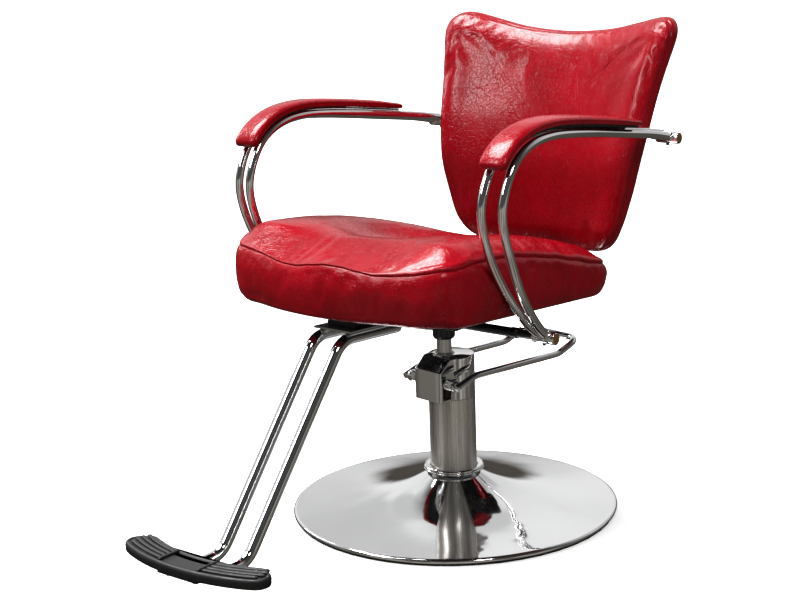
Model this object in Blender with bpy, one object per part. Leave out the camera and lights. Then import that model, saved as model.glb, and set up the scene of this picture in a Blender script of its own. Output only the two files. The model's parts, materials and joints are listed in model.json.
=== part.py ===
"""Hydraulic styling chair: round base, foot-pumped column, swivelling seat, arms, back, footrest.

Metres, +Z up. The origin is the centre of the round base on the floor, and the sitter faces -Y.
Three empties carry the moving parts: pump_axis (base centre, pump turned on its base),
swivel_axis (the ram's centre line) and pedal_axis (the pedal's cross shaft).
"""
import math

import bmesh
import bpy
from mathutils import Matrix, Vector

# ---------------------------------------------------------------- driving dimensions
GAP = 0.0003                # clearance between touching pieces

BASE_RADIUS = 0.305
BASE_RIM_Z = 0.0125         # top of the rolled rim
NECK_RADIUS = 0.0452        # hole in the middle of the base shell
NECK_Z = 0.0775
SHELL_WALL = 0.0015

PUMP_YAW = math.radians(-8.0)    # the pump is bolted down slightly turned
RAM_OFFSET = 0.0166              # the ram sits off the column's centre
COLUMN_RADIUS = 0.0437
COLUMN_WALL = 0.0037
COLUMN_TOP = 0.2215
COVER_TOP = 0.3015
BOX_HALF_WIDTH = 0.0344
BOX_FRONT = -0.0614
BOX_SHOULDER_Z = 0.2793          # where the sloped front of the cover starts
BOX_RIDGE_Y = -0.0370            # where it meets the flat top
COVER_WALL = 0.0018
RAM_RADIUS = 0.0140

SHAFT_Y = -0.0465                # pedal cross shaft, in the pump's own frame
SHAFT_Z = 0.2570
SHAFT_RADIUS = 0.0060
PEDAL_ROD_RADIUS = 0.0065

SEAT_TILT = math.radians(4.0)    # front edge higher
SEAT_BASE_Z = 0.4215             # underside of the cushion at the ram
BOARD_THICK = 0.0100
SEAT_PLATE_THICK = 0.0040

SLEEVE_RADIUS = 0.0108
SLEEVE_OUT = 0.2915              # outer end of each arm sleeve
SLEEVE_LENGTH = 0.0462
LOWER_BAR = Vector((0.0, -0.0595, 0.3845))
UPPER_BAR = Vector((0.0, 0.3493, 0.6771))
LOWER_BORE = 0.0079
UPPER_BORE = 0.0063
ARM_TUBE_RADIUS = 0.0076
ARM_INNER_X = 0.2600
ARM_OUTER_X = 0.2764
ARM_SPREAD = 0.0190              # how far the outer tube swings out at the front
ARM_SAMPLES = 34
PAD_LEAN = -0.03                 # the armrests tip outwards with the lower outer tube

FOOT_TUBE_X = 0.0295
FOOT_TUBE_RADIUS = 0.0105
FOOT_PLATE_Z = 0.1003
FOOT_PLATE_THICK = 0.0175

RED = (0.42, 0.004, 0.018, 1.0)
CHROME = (0.82, 0.83, 0.84, 1.0)
STEEL = (0.45, 0.44, 0.42, 1.0)
BLACK = (0.012, 0.012, 0.013, 1.0)
RUBBER = (0.02, 0.02, 0.02, 1.0)
PLYWOOD = (0.42, 0.28, 0.16, 1.0)


# ---------------------------------------------------------------- scene helpers
def clear_scene():
    for obj in list(bpy.data.objects):
        bpy.data.objects.remove(obj, do_unlink=True)


def make_material(name, colour, roughness, metallic):
    material = bpy.data.materials.new(name)
    material.use_nodes = True
    shader = material.node_tree.nodes["Principled BSDF"]
    shader.inputs["Base Color"].default_value = colour
    shader.inputs["Roughness"].default_value = roughness
    shader.inputs["Metallic"].default_value = metallic
    return material


def make_empty(name, location, parent=None, rotation=(0.0, 0.0, 0.0)):
    empty = bpy.data.objects.new(name, None)
    bpy.context.collection.objects.link(empty)
    empty.parent = parent
    empty.location = location
    empty.rotation_euler = rotation
    return empty


def add_object(name, bm, material, parent, location=(0.0, 0.0, 0.0)):
    """Turn a bmesh into a named object with closed, outward faces."""
    bmesh.ops.remove_doubles(bm, verts=bm.verts, dist=1e-6)
    bmesh.ops.recalc_face_normals(bm, faces=bm.faces)
    mesh = bpy.data.meshes.new(name)
    bm.to_mesh(mesh)
    bm.free()
    mesh.materials.append(material)
    mesh.shade_smooth()
    mesh.set_sharp_from_angle(angle=math.radians(35))
    obj = bpy.data.objects.new(name, mesh)
    bpy.context.collection.objects.link(obj)
    obj.parent = parent
    obj.location = location
    return obj


def cut(obj, bm, location=(0.0, 0.0, 0.0)):
    """Subtract a shape from an object with a Boolean modifier; the cutter stays hidden."""
    cutter = add_object(obj.name + "_cutter", bm, obj.data.materials[0], obj.parent, location)
    cutter.hide_render = True
    cutter.display_type = "WIRE"
    modifier = obj.modifiers.new("cut", "BOOLEAN")
    modifier.operation = "DIFFERENCE"
    modifier.solver = "EXACT"
    modifier.object = cutter
    return cutter


# ---------------------------------------------------------------- shape helpers
def turned_shape(profile, steps=40, axis="Z"):
    """Spin a closed (radius, height) outline; points at radius 0 become poles."""
    bm = bmesh.new()
    verts = [bm.verts.new((radius, 0.0, height)) for radius, height in profile]
    touches_axis = profile[0][0] == 0.0 and profile[-1][0] == 0.0
    ring = list(zip(verts, verts[1:]))
    if not touches_axis:
        ring.append((verts[-1], verts[0]))
    edges = [bm.edges.new(pair) for pair in ring]
    bmesh.ops.spin(bm, geom=verts + edges, cent=(0, 0, 0), axis=(0, 0, 1),
                   angle=2 * math.pi, steps=steps)
    bmesh.ops.remove_doubles(bm, verts=bm.verts, dist=1e-6)
    if axis == "X":
        bmesh.ops.rotate(bm, verts=bm.verts, matrix=Matrix.Rotation(math.pi / 2, 3, "Y"))
    return bm


def rod_shape(radius, start, end, steps=24, axis="Z", chamfer=0.0):
    """Plain round bar along one axis, with chamfered ends."""
    low = [(0.0, start), (radius - chamfer, start)]
    high = [(radius - chamfer, end), (0.0, end)]
    if chamfer:
        low.append((radius, start + chamfer))
        high.insert(0, (radius, end - chamfer))
    return turned_shape(low + high, steps, axis)


def ring_shape(inner, outer, start, end, steps=32, axis="Z", chamfer=0.0):
    """Round tube wall between two radii, with its outer corners chamfered."""
    profile = [(inner, start), (outer - chamfer, start)]
    if chamfer:
        profile += [(outer, start + chamfer), (outer, end - chamfer)]
    profile += [(outer - chamfer, end), (inner, end)]
    return turned_shape(profile, steps, axis)


def block_shape(low, high):
    """Box between two opposite corners."""
    bm = bmesh.new()
    bmesh.ops.create_cube(bm, size=1.0)
    low, high = Vector(low), Vector(high)
    bmesh.ops.scale(bm, vec=high - low, verts=bm.verts)
    bmesh.ops.translate(bm, vec=(low + high) / 2, verts=bm.verts)
    return bm


def plate_shape(outline, low, high):
    """Flat plate: an (x, y) outline raised from one height to another."""
    bm = bmesh.new()
    face = bm.faces.new([bm.verts.new((x, y, low)) for x, y in outline])
    raised = bmesh.ops.extrude_face_region(bm, geom=[face])
    top = [item for item in raised["geom"] if isinstance(item, bmesh.types.BMVert)]
    bmesh.ops.translate(bm, vec=(0, 0, high - low), verts=top)
    return bm


def extruded_along_x(outline, half):
    """Block with a constant (y, z) outline, centred on x = 0."""
    bm = bmesh.new()
    face = bm.faces.new([bm.verts.new((-half, y, z)) for y, z in outline])
    raised = bmesh.ops.extrude_face_region(bm, geom=[face])
    verts = [item for item in raised["geom"] if isinstance(item, bmesh.types.BMVert)]
    bmesh.ops.translate(bm, vec=(2 * half, 0, 0), verts=verts)
    return bm


def rounded_rectangle(half_x, low_y, high_y, radius, steps=4):
    """Corner-rounded rectangle outline, centred on x = 0."""
    corners = [(half_x - radius, low_y + radius, -90), (half_x - radius, high_y - radius, 0),
               (radius - half_x, high_y - radius, 90), (radius - half_x, low_y + radius, 180)]
    outline = []
    for centre_x, centre_y, first in corners:
        for step in range(steps + 1):
            angle = math.radians(first + 90 * step / steps)
            outline.append((centre_x + radius * math.cos(angle), centre_y + radius * math.sin(angle)))
    return outline


def filleted(points, radius, steps=6):
    """Path through the points with each inner corner replaced by an arc of the bend radius."""
    points = [Vector(point) for point in points]
    path = [points[0]]
    for before, corner, after in zip(points, points[1:], points[2:]):
        towards, away = (before - corner).normalized(), (after - corner).normalized()
        half = towards.angle(away) / 2
        setback = min(radius / math.tan(half), (before - corner).length * 0.49,
                      (after - corner).length * 0.49)
        bend = setback * math.tan(half)
        centre = corner + (towards + away).normalized() * bend / math.sin(half)
        first = (corner + towards * setback - centre).normalized()
        last = (corner + away * setback - centre).normalized()
        for step in range(steps + 1):
            path.append(centre + first.slerp(last, step / steps) * bend)
    path.append(points[-1])
    return path


def smooth_route(points, samples):
    """Catmull-Rom curve through the points, resampled to even spacing."""
    points = [Vector(point) for point in points]
    ends = [points[0] * 2 - points[1]] + points + [points[-1] * 2 - points[-2]]
    fine = []
    for p0, p1, p2, p3 in zip(ends, ends[1:], ends[2:], ends[3:]):
        for step in range(12):
            t = step / 12
            fine.append(0.5 * (2 * p1 + (p2 - p0) * t + (2 * p0 - 5 * p1 + 4 * p2 - p3) * t ** 2
                               + (3 * p1 - p0 - 3 * p2 + p3) * t ** 3))
    fine.append(points[-1])
    length = [0.0]
    for before, after in zip(fine, fine[1:]):
        length.append(length[-1] + (after - before).length)
    route, index = [], 0
    for sample in range(samples + 1):
        target = length[-1] * sample / samples
        while index < len(fine) - 2 and length[index + 1] < target:
            index += 1
        share = (target - length[index]) / (length[index + 1] - length[index])
        route.append(fine[index].lerp(fine[index + 1], share))
    return route


def tube_shape(path, radius, resolution=2):
    """Solid round bar swept along a path, made with a bevelled curve."""
    curve = bpy.data.curves.new("sweep", "CURVE")
    curve.dimensions = "3D"
    curve.bevel_depth = radius
    curve.bevel_resolution = resolution
    curve.use_fill_caps = True
    spline = curve.splines.new("POLY")
    spline.points.add(len(path) - 1)
    for point, place in zip(spline.points, path):
        point.co = (*place, 1.0)
    holder = bpy.data.objects.new("sweep", curve)
    bpy.context.collection.objects.link(holder)
    bpy.context.view_layer.update()
    mesh = bpy.data.meshes.new_from_object(holder)
    bpy.data.objects.remove(holder, do_unlink=True)
    bm = bmesh.new()
    bm.from_mesh(mesh)
    bmesh.ops.remove_doubles(bm, verts=bm.verts, dist=1e-5)
    return bm


def stacked_rings(rings, low_pole, high_pole):
    """Closed body lofted through equal rings of points, with a pole at each end."""
    bm = bmesh.new()
    loops = [[bm.verts.new(point) for point in ring] for ring in rings]
    for lower, upper in zip(loops, loops[1:]):
        count = len(lower)
        for index in range(count):
            following = (index + 1) % count
            bm.faces.new((lower[index], lower[following], upper[following], upper[index]))
    for loop, pole in ((loops[0], low_pole), (loops[-1], high_pole)):
        tip = bm.verts.new(pole)
        for index, vert in enumerate(loop):
            bm.faces.new((vert, loop[(index + 1) % len(loop)], tip))
    bmesh.ops.triangulate(bm, faces=bm.faces, quad_method="SHORT_EDGE")
    return bm


# ---------------------------------------------------------------- base
def base_height(radius):
    """Height of the flared chrome shell: nearly flat at the rim, steep at the neck."""
    inward = (BASE_RADIUS - 0.0065 - radius) / (BASE_RADIUS - 0.0065 - NECK_RADIUS)
    return BASE_RIM_Z + (NECK_Z - BASE_RIM_Z) * (0.34 * inward + 0.66 * inward ** 3.4)


def make_base(materials):
    plate = rod_shape(0.2920, 0.0, 0.0050, steps=48, chamfer=0.0010)
    add_object("base_plate", plate, materials["iron"], None)
    ring = ring_shape(0.2925, 0.3010, 0.0, 0.0046, steps=48)
    add_object("floor_ring", ring, materials["rubber"], None)

    radii = [0.2985, 0.250, 0.200, 0.150, 0.110, 0.080, 0.060, NECK_RADIUS]
    outer = [(radius, base_height(radius)) for radius in radii]
    inner = [(radius, height - SHELL_WALL) for radius, height in reversed(outer)]
    rim = [(0.3018, 0.0055), (0.3040, 0.0052), (0.3050, 0.0080), (0.3030, 0.0114)]
    add_object("base_shell", turned_shape(outer + inner + rim, 48), materials["chrome"], None)

    collar = [(0.0440, NECK_Z + GAP), (0.0567, NECK_Z + GAP), (0.0567, 0.0850), (0.0550, 0.0872),
              (0.0460, 0.0875), (0.0440, 0.0860)]
    add_object("ring_collar", turned_shape(collar, 32), materials["chrome"], None)


# ---------------------------------------------------------------- hydraulic pump, fixed pieces
def make_column(materials, pump):
    flange = rod_shape(0.0750, 0.0053, 0.0125, steps=32, chamfer=0.0010)
    add_object("pump_flange", flange, materials["iron"], pump)
    wall = ring_shape(COLUMN_RADIUS - COLUMN_WALL, COLUMN_RADIUS, 0.0128, COLUMN_TOP, steps=36)
    add_object("pump_cylinder", wall, materials["steel"], pump)
    cup = [(0.0, 0.0128), (0.0222, 0.0128), (0.0222, 0.2205), (0.0192, 0.2205), (0.0192, 0.0168),
           (0.0, 0.0168)]
    add_object("oil_cylinder", turned_shape(cup, 24), materials["steel"], pump, (0, -RAM_OFFSET, 0))


def make_head(materials, pump):
    """Casting with the ram's guide hole, cut flat in front for the pedal's mechanism."""
    casting = add_object("pump_head", rod_shape(0.0385, 0.2225, 0.2975, steps=32), materials["iron"], pump)
    cut(casting, block_shape((-0.06, -0.06, 0.21), (0.06, -0.0340, 0.31)))
    cut(casting, rod_shape(RAM_RADIUS + 0.0006, 0.21, 0.31), (0, -RAM_OFFSET, 0))
    gland = ring_shape(RAM_RADIUS + 0.0004, 0.0185, 0.2978, 0.3072, steps=24, chamfer=0.0012)
    add_object("ram_gland", gland, materials["steel"], pump, (0, -RAM_OFFSET, 0))

    guide = add_object("plunger_guide", block_shape((-0.0080, -0.0450, 0.2230), (0.0080, -0.0343, 0.2400)),
                       materials["iron"], pump)
    cut(guide, rod_shape(0.0043, 0.21, 0.25, steps=16), (0, PLUNGER_Y, 0))

    for side, name in ((1, "left"), (-1, "right")):
        near, far = sorted((side * 0.0215, side * (BOX_HALF_WIDTH - COVER_WALL - GAP)))
        bearing = add_object("shaft_bearing_" + name,
                             block_shape((near, SHAFT_Y - 0.0105, 0.2470), (far, SHAFT_Y + 0.0100, 0.2665)),
                             materials["iron"], pump)
        cut(bearing, rod_shape(SHAFT_RADIUS + 0.0004, -0.05, 0.05, 16, "X"), (0, SHAFT_Y, SHAFT_Z))


def cover_profile(inset):
    """Side outline (y, z) of the box front with its sloped top, shrunk by an inset."""
    slope = math.atan2(COVER_TOP - BOX_SHOULDER_Z, BOX_RIDGE_Y - BOX_FRONT)
    shoulder = inset * math.tan((math.pi / 2 - slope) / 2)
    ridge = inset * math.tan(slope / 2)
    return [(0.0, 0.2221), (BOX_FRONT + inset, 0.2221), (BOX_FRONT + inset, BOX_SHOULDER_Z - shoulder),
            (BOX_RIDGE_Y + ridge, COVER_TOP - inset), (0.0, COVER_TOP - inset)]


def cover_body(inset, drop):
    """Round back and box front of the head cover as one solid; drop lowers its open bottom."""
    outline = [(y, z - (drop if z < 0.23 else 0.0)) for y, z in cover_profile(inset)]
    return extruded_along_x(outline, BOX_HALF_WIDTH - inset)


def make_head_cover(materials, pump):
    """Stamped chrome cover: a round cap joined to a box whose front slopes back at the top."""
    back = rod_shape(COLUMN_RADIUS, 0.2221, COVER_TOP, steps=36, chamfer=0.0008)
    cover = add_object("head_cover", back, materials["chrome"], pump)
    box = cut(cover, cover_body(0.0, 0.0))
    cover.modifiers[-1].operation = "UNION"
    box.name = "head_cover_box"
    cut(cover, rod_shape(COLUMN_RADIUS - COVER_WALL, 0.20, COVER_TOP - COVER_WALL, steps=36))
    cut(cover, cover_body(COVER_WALL, 0.01))
    cut(cover, rod_shape(0.0190, 0.28, 0.32, steps=24), (0, -RAM_OFFSET, 0))
    slot = block_shape((-0.05, SHAFT_Y - 0.0095, 0.2262), (0.05, SHAFT_Y + 0.0125, 0.2655))
    cut(cover, slot)


# ---------------------------------------------------------------- pedal, in the frame of its shaft
PLUNGER_Y = SHAFT_Y + 0.0080


def make_pedal(materials, pedal):
    shaft = rod_shape(SHAFT_RADIUS, -0.0611, 0.0611, 20, "X", chamfer=0.0005)
    add_object("pedal_shaft", shaft, materials["steel"], pedal)

    nose = [(0.0088 * math.cos(math.radians(a)), 0.0088 * math.sin(math.radians(a)))
            for a in range(60, 301, 20)]
    nose += [(0.0080 + 0.0040 * math.cos(math.radians(a)), -0.0025 + 0.0040 * math.sin(math.radians(a)))
             for a in range(-90, 91, 30)]
    cam_shape = plate_shape(nose, -0.0060, 0.0060)
    bmesh.ops.rotate(cam_shape, verts=cam_shape.verts, matrix=Matrix(((0, 0, 1), (1, 0, 0), (0, 1, 0))))
    cam = add_object("pump_cam", cam_shape, materials["steel"], pedal)
    cut(cam, rod_shape(SHAFT_RADIUS + GAP, -0.02, 0.02, 20, "X"))

    for side, name in ((1, "left"), (-1, "right")):
        near, far = sorted((side * 0.0362, side * 0.0608))
        boss = ring_shape(SHAFT_RADIUS + GAP, 0.0104, near, far, 24, "X", chamfer=0.0012)
        add_object("pedal_boss_" + name, boss, materials["chrome"], pedal)

    half = [(0.0680, -0.0070, -0.0005), (0.0680, 0.0410, 0.0140), (0.0705, 0.2640, 0.0100),
            (0.0705, 0.3200, 0.0290)]
    ends = [(-x, y, z) for x, y, z in reversed(half)]
    rod = tube_shape(filleted(half + ends, 0.016, 4), PEDAL_ROD_RADIUS)
    add_object("pedal_rod", rod, materials["chrome"], pedal)

    turns, start, pitch, coil = 4, 0.0082, 0.0029, 0.0081
    per_turn = 9
    helix = [(start + pitch * step / per_turn, coil * math.cos(2 * math.pi * step / per_turn),
              coil * math.sin(2 * math.pi * step / per_turn)) for step in range(turns * per_turn + 1)]
    spring = tube_shape(helix, 0.0008, 1)
    add_object("pedal_return_spring", spring, materials["steel"], pedal)


def make_plunger(materials, pump):
    plunger = rod_shape(0.0040, 0.2262, 0.2487, 16, chamfer=0.0005)
    add_object("pump_plunger", plunger, materials["steel"], pump, (0, PLUNGER_Y, 0))


# ---------------------------------------------------------------- ram and piston
def make_ram(materials, lift, swivel):
    piston = [(0.0, 0.0172), (0.0187, 0.0172), (0.0187, 0.0205), (0.0160, 0.0205), (0.0160, 0.0255),
              (0.0187, 0.0255), (0.0187, 0.0292), (0.0, 0.0292)]
    add_object("piston", turned_shape(piston, 24), materials["steel"], lift)
    ram = [(0.0, 0.0295), (RAM_RADIUS, 0.0295), (RAM_RADIUS, 0.3400), (0.0128, 0.3700), (0.0, 0.3700)]
    add_object("ram", turned_shape(ram, 24), materials["steel"], swivel)


def make_socket(materials, swivel):
    """Taper socket that grips the ram; its top follows the tilt of the seat plate."""
    top = SEAT_BASE_Z - BOARD_THICK - SEAT_PLATE_THICK - 3 * GAP
    profile = [(0.0, top), (0.0210, top), (0.0210, 0.3380), (0.0190, 0.3341), (RAM_RADIUS + GAP, 0.3341),
               (RAM_RADIUS + GAP, 0.3402), (0.0128 + GAP, 0.3703), (0.0, 0.3703)]
    bm = turned_shape(profile, 24)
    for vert in bm.verts:
        if vert.co.z > top - 0.001:
            vert.co.z -= math.tan(SEAT_TILT) * vert.co.y + GAP
    add_object("seat_socket", bm, materials["black"], swivel)


# ---------------------------------------------------------------- seat, in its tilted frame
def seat_outline(scale=1.0, steps=10):
    """Plan of the cushion: rounded corners, bowed front and rear edges."""
    corners = [(0.248, -0.322, 0.068, -90), (0.243, 0.212, 0.062, 0),
               (-0.243, 0.212, 0.062, 90), (-0.248, -0.322, 0.068, 180)]
    outline = []
    for corner_x, corner_y, radius, first in corners:
        centre_x = corner_x - math.copysign(radius, corner_x)
        centre_y = corner_y - math.copysign(radius, corner_y)
        for step in range(steps + 1):
            angle = math.radians(first + 90 * step / steps)
            outline.append((centre_x + radius * math.cos(angle), centre_y + radius * math.sin(angle)))
        if first == -90 or first == 90:
            continue
        low, high = (0.180, -0.180) if corner_y > 0 else (-0.180, 0.180)
        bow = 0.040 if corner_y > 0 else -0.034
        for step in range(1, 6):
            share = step / 6
            along = low + (high - low) * share
            outline.append((along, corner_y + bow * 4 * share * (1 - share)))
    middle = (0.0, -0.060)
    return [(middle[0] + (x - middle[0]) * scale, middle[1] + (y - middle[1]) * scale)
            for x, y in outline]


def seat_top(x, y):
    """Height of the seat's upper surface: raised sides, a dished middle, thinner at the rear."""
    side = min(abs(x) / 0.24, 1.0)
    bolster = 0.131 - 0.30 * max(y + 0.06, 0.0) ** 1.25
    dish = 0.028 * (1 - side ** 2) * math.exp(-((y - 0.02) / 0.16) ** 2)
    front = 0.040 * max(-(y + 0.18) / 0.15, 0.0) ** 2
    return bolster - dish - front * (0.25 + 0.75 * (1 - side))


def make_seat(materials, seat):
    seam = 0.80
    rings = []
    for scale, height in ((0.955, 0.0), (0.995, 0.005), (1.0, 0.030), (1.0, 0.050)):
        rings.append([(x, y, height) for x, y in seat_outline(scale)])
    for scale, share in ((0.985, seam), (0.94, 0.93), (0.84, 0.99), (0.66, 1.0), (0.40, 1.0), (0.18, 1.0)):
        rings.append([(x, y, seat_top(x, y) * share) for x, y in seat_outline(scale)])
    cushion = stacked_rings(rings, (0.0, -0.06, 0.0), (0.0, -0.06, seat_top(0.0, -0.06)))
    add_object("seat_cushion", cushion, materials["leather"], seat)

    board = plate_shape(seat_outline(0.80), -BOARD_THICK - GAP, -GAP)
    add_object("seat_board", board, materials["black"], seat)
    top = -BOARD_THICK - 2 * GAP
    plate = plate_shape(rounded_rectangle(0.100, -0.145, 0.110, 0.015), top - SEAT_PLATE_THICK, top)
    add_object("seat_plate", plate, materials["black"], seat)


# ---------------------------------------------------------------- cross bars and arms
def make_lower_bar(materials, swivel):
    stub, bar, ring = 0.0076, 0.0085, 0.0096
    half = [(bar, 0.0), (bar, 0.1970), (ring, 0.1985), (ring, 0.2100), (stub + 0.0004, 0.2130),
            (stub, 0.2150), (stub, 0.2800)]
    profile = [(0.0, -0.2800)] + [(r, -x) for r, x in reversed(half[1:])] + half[1:] + [(0.0, 0.2800)]
    add_object("lower_cross_bar", turned_shape(profile, 16, "X"), materials["black"], swivel, LOWER_BAR)
    for side, name in ((1, "left"), (-1, "right")):
        near, far = sorted((side * 0.0560, side * 0.0860))
        block = block_shape((near, LOWER_BAR.y - 0.0140, 0.3730), (far, LOWER_BAR.y + 0.0140, 0.4085))
        clamp = add_object("bar_clamp_" + name, block, materials["black"], swivel)
        cut(clamp, rod_shape(bar + GAP, -0.1, 0.1, 20, "X"), LOWER_BAR)


def make_upper_bar(materials, swivel):
    """Round bar bent to pass behind the curved back, with a bracket on each side."""
    radius, straight, rear = UPPER_BORE - GAP, 0.2380, 0.0560
    half = [(0.2860, 0.0, 0.0), (straight, 0.0, 0.0), (0.1300, rear, 0.0)]
    path = filleted(half + [(-x, y, z) for x, y, z in reversed(half)], 0.05, 5)
    add_object("upper_cross_bar", tube_shape(path, radius), materials["black"], swivel, UPPER_BAR)
    for side, name in ((1, "left"), (-1, "right")):
        near, far = sorted((side * 0.0650, side * 0.0950))
        block = block_shape((near, 0.0285, -0.0120), (far, rear + 0.0105, 0.0120))
        bracket = add_object("back_bracket_" + name, block, materials["black"], swivel, UPPER_BAR)
        cut(bracket, rod_shape(radius + GAP, -0.12, 0.12, 20, "X"), UPPER_BAR + Vector((0, rear, 0)))


def make_sleeve(name, side, bore, place, screw_side, materials, swivel):
    """Chrome sleeve closed at its outer end, drilled for a black set screw."""
    inner, outer, cap = SLEEVE_OUT - SLEEVE_LENGTH, SLEEVE_OUT, 0.0040
    profile = [(bore, inner), (SLEEVE_RADIUS - 0.0008, inner), (SLEEVE_RADIUS, inner + 0.0008),
               (SLEEVE_RADIUS, outer - 0.0008), (SLEEVE_RADIUS - 0.0008, outer), (0.0, outer)]
    profile = [(0.0, outer - cap), (bore, outer - cap)] + profile
    bm = turned_shape(profile, 20, "X")
    if side < 0:
        bmesh.ops.scale(bm, vec=(-1, 1, 1), verts=bm.verts)
    sleeve = add_object(name, bm, materials["chrome"], swivel, place)
    spot = place + Vector((side * (inner + 0.021), 0, 0))
    hole = rod_shape(0.0033, -0.02, -bore * 0.5, 12)
    cut(sleeve, hole, spot)
    screw = rod_shape(0.0030, -0.0142, -bore - GAP, 12, chamfer=0.0006)
    add_object(name.replace("sleeve", "set_screw"), screw, materials["black"], swivel, spot)


def arm_route(outer):
    """Centre line of an arm tube; the outer tube swings out and runs just inside the inner one."""
    shape = [(-0.0660, 0.3900), (-0.0950, 0.4115), (-0.1380, 0.4560), (-0.1690, 0.4950), (-0.1990, 0.5420),
             (-0.2200, 0.5950), (-0.2240, 0.6400), (-0.1975, 0.6950), (-0.1640, 0.7220), (-0.1206, 0.7368),
             (-0.0700, 0.7405), (-0.0206, 0.7375), (0.0554, 0.7288), (0.1610, 0.7138), (0.2760, 0.6968),
             (0.3400, 0.6850)]
    route = []
    for y, z in shape:
        swing = max(0.0, 1.0 - ((y + 0.20) / 0.40) ** 2) if z > 0.55 else max(0.0, (z - 0.39) / 0.16)
        if not outer:
            route.append((ARM_INNER_X, y, z))
            continue
        back = 0.0100 * min(max((0.74 - z) / 0.06, 0.0), 1.0) * min(swing, 1.0)
        drop = 0.0040 * min(max((z - 0.62) / 0.06, 0.0), 1.0) if y < 0.30 else 0.0055
        route.append((ARM_OUTER_X + ARM_SPREAD * min(swing, 1.0), y + (back if y < 0 else 0.0), z - drop))
    return route


def make_arms(materials, swivel):
    for side, name in ((1, "left"), (-1, "right")):
        make_sleeve("lower_sleeve_" + name, side, LOWER_BORE, LOWER_BAR, -1, materials, swivel)
        make_sleeve("upper_sleeve_" + name, side, UPPER_BORE, UPPER_BAR, -1, materials, swivel)
        for outer in (False, True):
            route = [(side * x, y, z) for x, y, z in arm_route(outer)]
            label = "arm_tube_" + name + ("_outer" if outer else "_inner")
            tube = add_object(label, tube_shape(smooth_route(route, ARM_SAMPLES), ARM_TUBE_RADIUS),
                              materials["chrome"], swivel)
            for place in (LOWER_BAR, UPPER_BAR):
                cut(tube, rod_shape(SLEEVE_RADIUS + GAP, 0.20, 0.33, 20, "X"),
                    place if side > 0 else place - Vector((0.53, 0, 0)))
        make_arm_pad(side, name, materials, swivel)


def pad_section(half, bottom, top, crown):
    """Cross-section (across, up) of an armrest: flat underside, rounded sides, crowned top."""
    return [(-half * 0.90, bottom), (half * 0.90, bottom), (half, bottom + 0.004), (half, top - 0.006),
            (half * 0.88, top - 0.001), (half * 0.5, top + crown * 0.75), (0.0, top + crown),
            (-half * 0.5, top + crown * 0.75), (-half * 0.88, top - 0.001), (-half, top - 0.006),
            (-half, bottom + 0.004)]


def swept_section(path, centre_x, sections, lean=0.0):
    """Loft (across, up) sections along a (y, z) path, square to it; lean tips them sideways."""
    rings = []
    for index, (y, z) in enumerate(path):
        before, after = path[max(index - 1, 0)], path[min(index + 1, len(path) - 1)]
        along = Vector((0, after[0] - before[0], after[1] - before[1])).normalized()
        up = Vector((1, 0, 0)).cross(along)
        rings.append([Vector((centre_x + across, y, z)) + up * (rise + lean * across)
                      for across, rise in sections[index]])
    middle_low = sum(rings[0], Vector()) / len(rings[0])
    middle_high = sum(rings[-1], Vector()) / len(rings[-1])
    return stacked_rings(rings, middle_low, middle_high)


def make_arm_pad(side, name, materials, swivel):
    """Padded armrest on a thin black base that lies along the two tubes."""
    centre = side * (ARM_INNER_X + ARM_OUTER_X + ARM_SPREAD * 0.8) / 2
    route = smooth_route(arm_route(False), ARM_SAMPLES)
    path = [(point.y, point.z) for point in route if point.z > 0.690 and point.y < 0.222]
    rest = ARM_TUBE_RADIUS - 0.0001
    base, pad = [], []
    for index in range(len(path)):
        share = index / (len(path) - 1)
        half = 0.0275 - 0.0090 * share
        base.append([(-half * 0.7, rest), (half * 0.7, rest), (half * 0.7, rest + 0.0030),
                     (-half * 0.7, rest + 0.0030)])
        pad.append(pad_section(half, rest + 0.0034, rest + 0.0170 - 0.0030 * share, 0.0040))
    base_shape, pad_shape = (swept_section(path, centre, layer, PAD_LEAN * side) for layer in (base, pad))
    add_object("arm_pad_base_" + name, base_shape, materials["black"], swivel)
    add_object("arm_pad_" + name, pad_shape, materials["leather"], swivel)


# ---------------------------------------------------------------- back
def back_outline(scale=1.0):
    """Butterfly outline (x, z) of the back: narrow foot, flared sides, rounded ears, dipped top."""
    right = [(0.060, 0.4520), (0.120, 0.4520), (0.1600, 0.4640), (0.1870, 0.5000), (0.2070, 0.5560),
             (0.2210, 0.6050), (0.2370, 0.6800), (0.2480, 0.7600), (0.2590, 0.8350), (0.2620, 0.8620),
             (0.2550, 0.8840), (0.2370, 0.8930), (0.2100, 0.8900), (0.1600, 0.8780), (0.1050, 0.8660),
             (0.0500, 0.8600)]
    outline = [(0.0, 0.4510)] + right + [(0.0, 0.8580)] + [(-x, z) for x, z in reversed(right)]
    centre = 0.67
    return [(x * scale, centre + (z - centre) * scale) for x, z in outline]


def back_surface(x, z):
    """Depth (y) of the back's middle surface: leans back, and its sides wrap forwards."""
    edge = 0.3030 + 0.55 * max(z - 0.60, 0.0) ** 1.5
    rise = min(max((z - 0.50) / 0.34, 0.0), 1.0)
    half = 0.182 + 0.085 * (1 - (1 - rise) ** 1.6)
    wrap = 0.034 + 0.05 * max(z - 0.62, 0.0)
    return edge + wrap * (1 - min((x / half) ** 2, 1.1))


def back_layer(steps):
    """Closed curved slab from (scale, depth) rings, front pole to rear pole."""
    rings = [[(x, back_surface(x, z) + depth, z) for x, z in back_outline(scale)] for scale, depth in steps]
    front = (0.0, back_surface(0.0, 0.67) + steps[0][1], 0.67)
    rear = (0.0, back_surface(0.0, 0.67) + steps[-1][1], 0.67)
    return stacked_rings(rings, front, rear)


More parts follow.
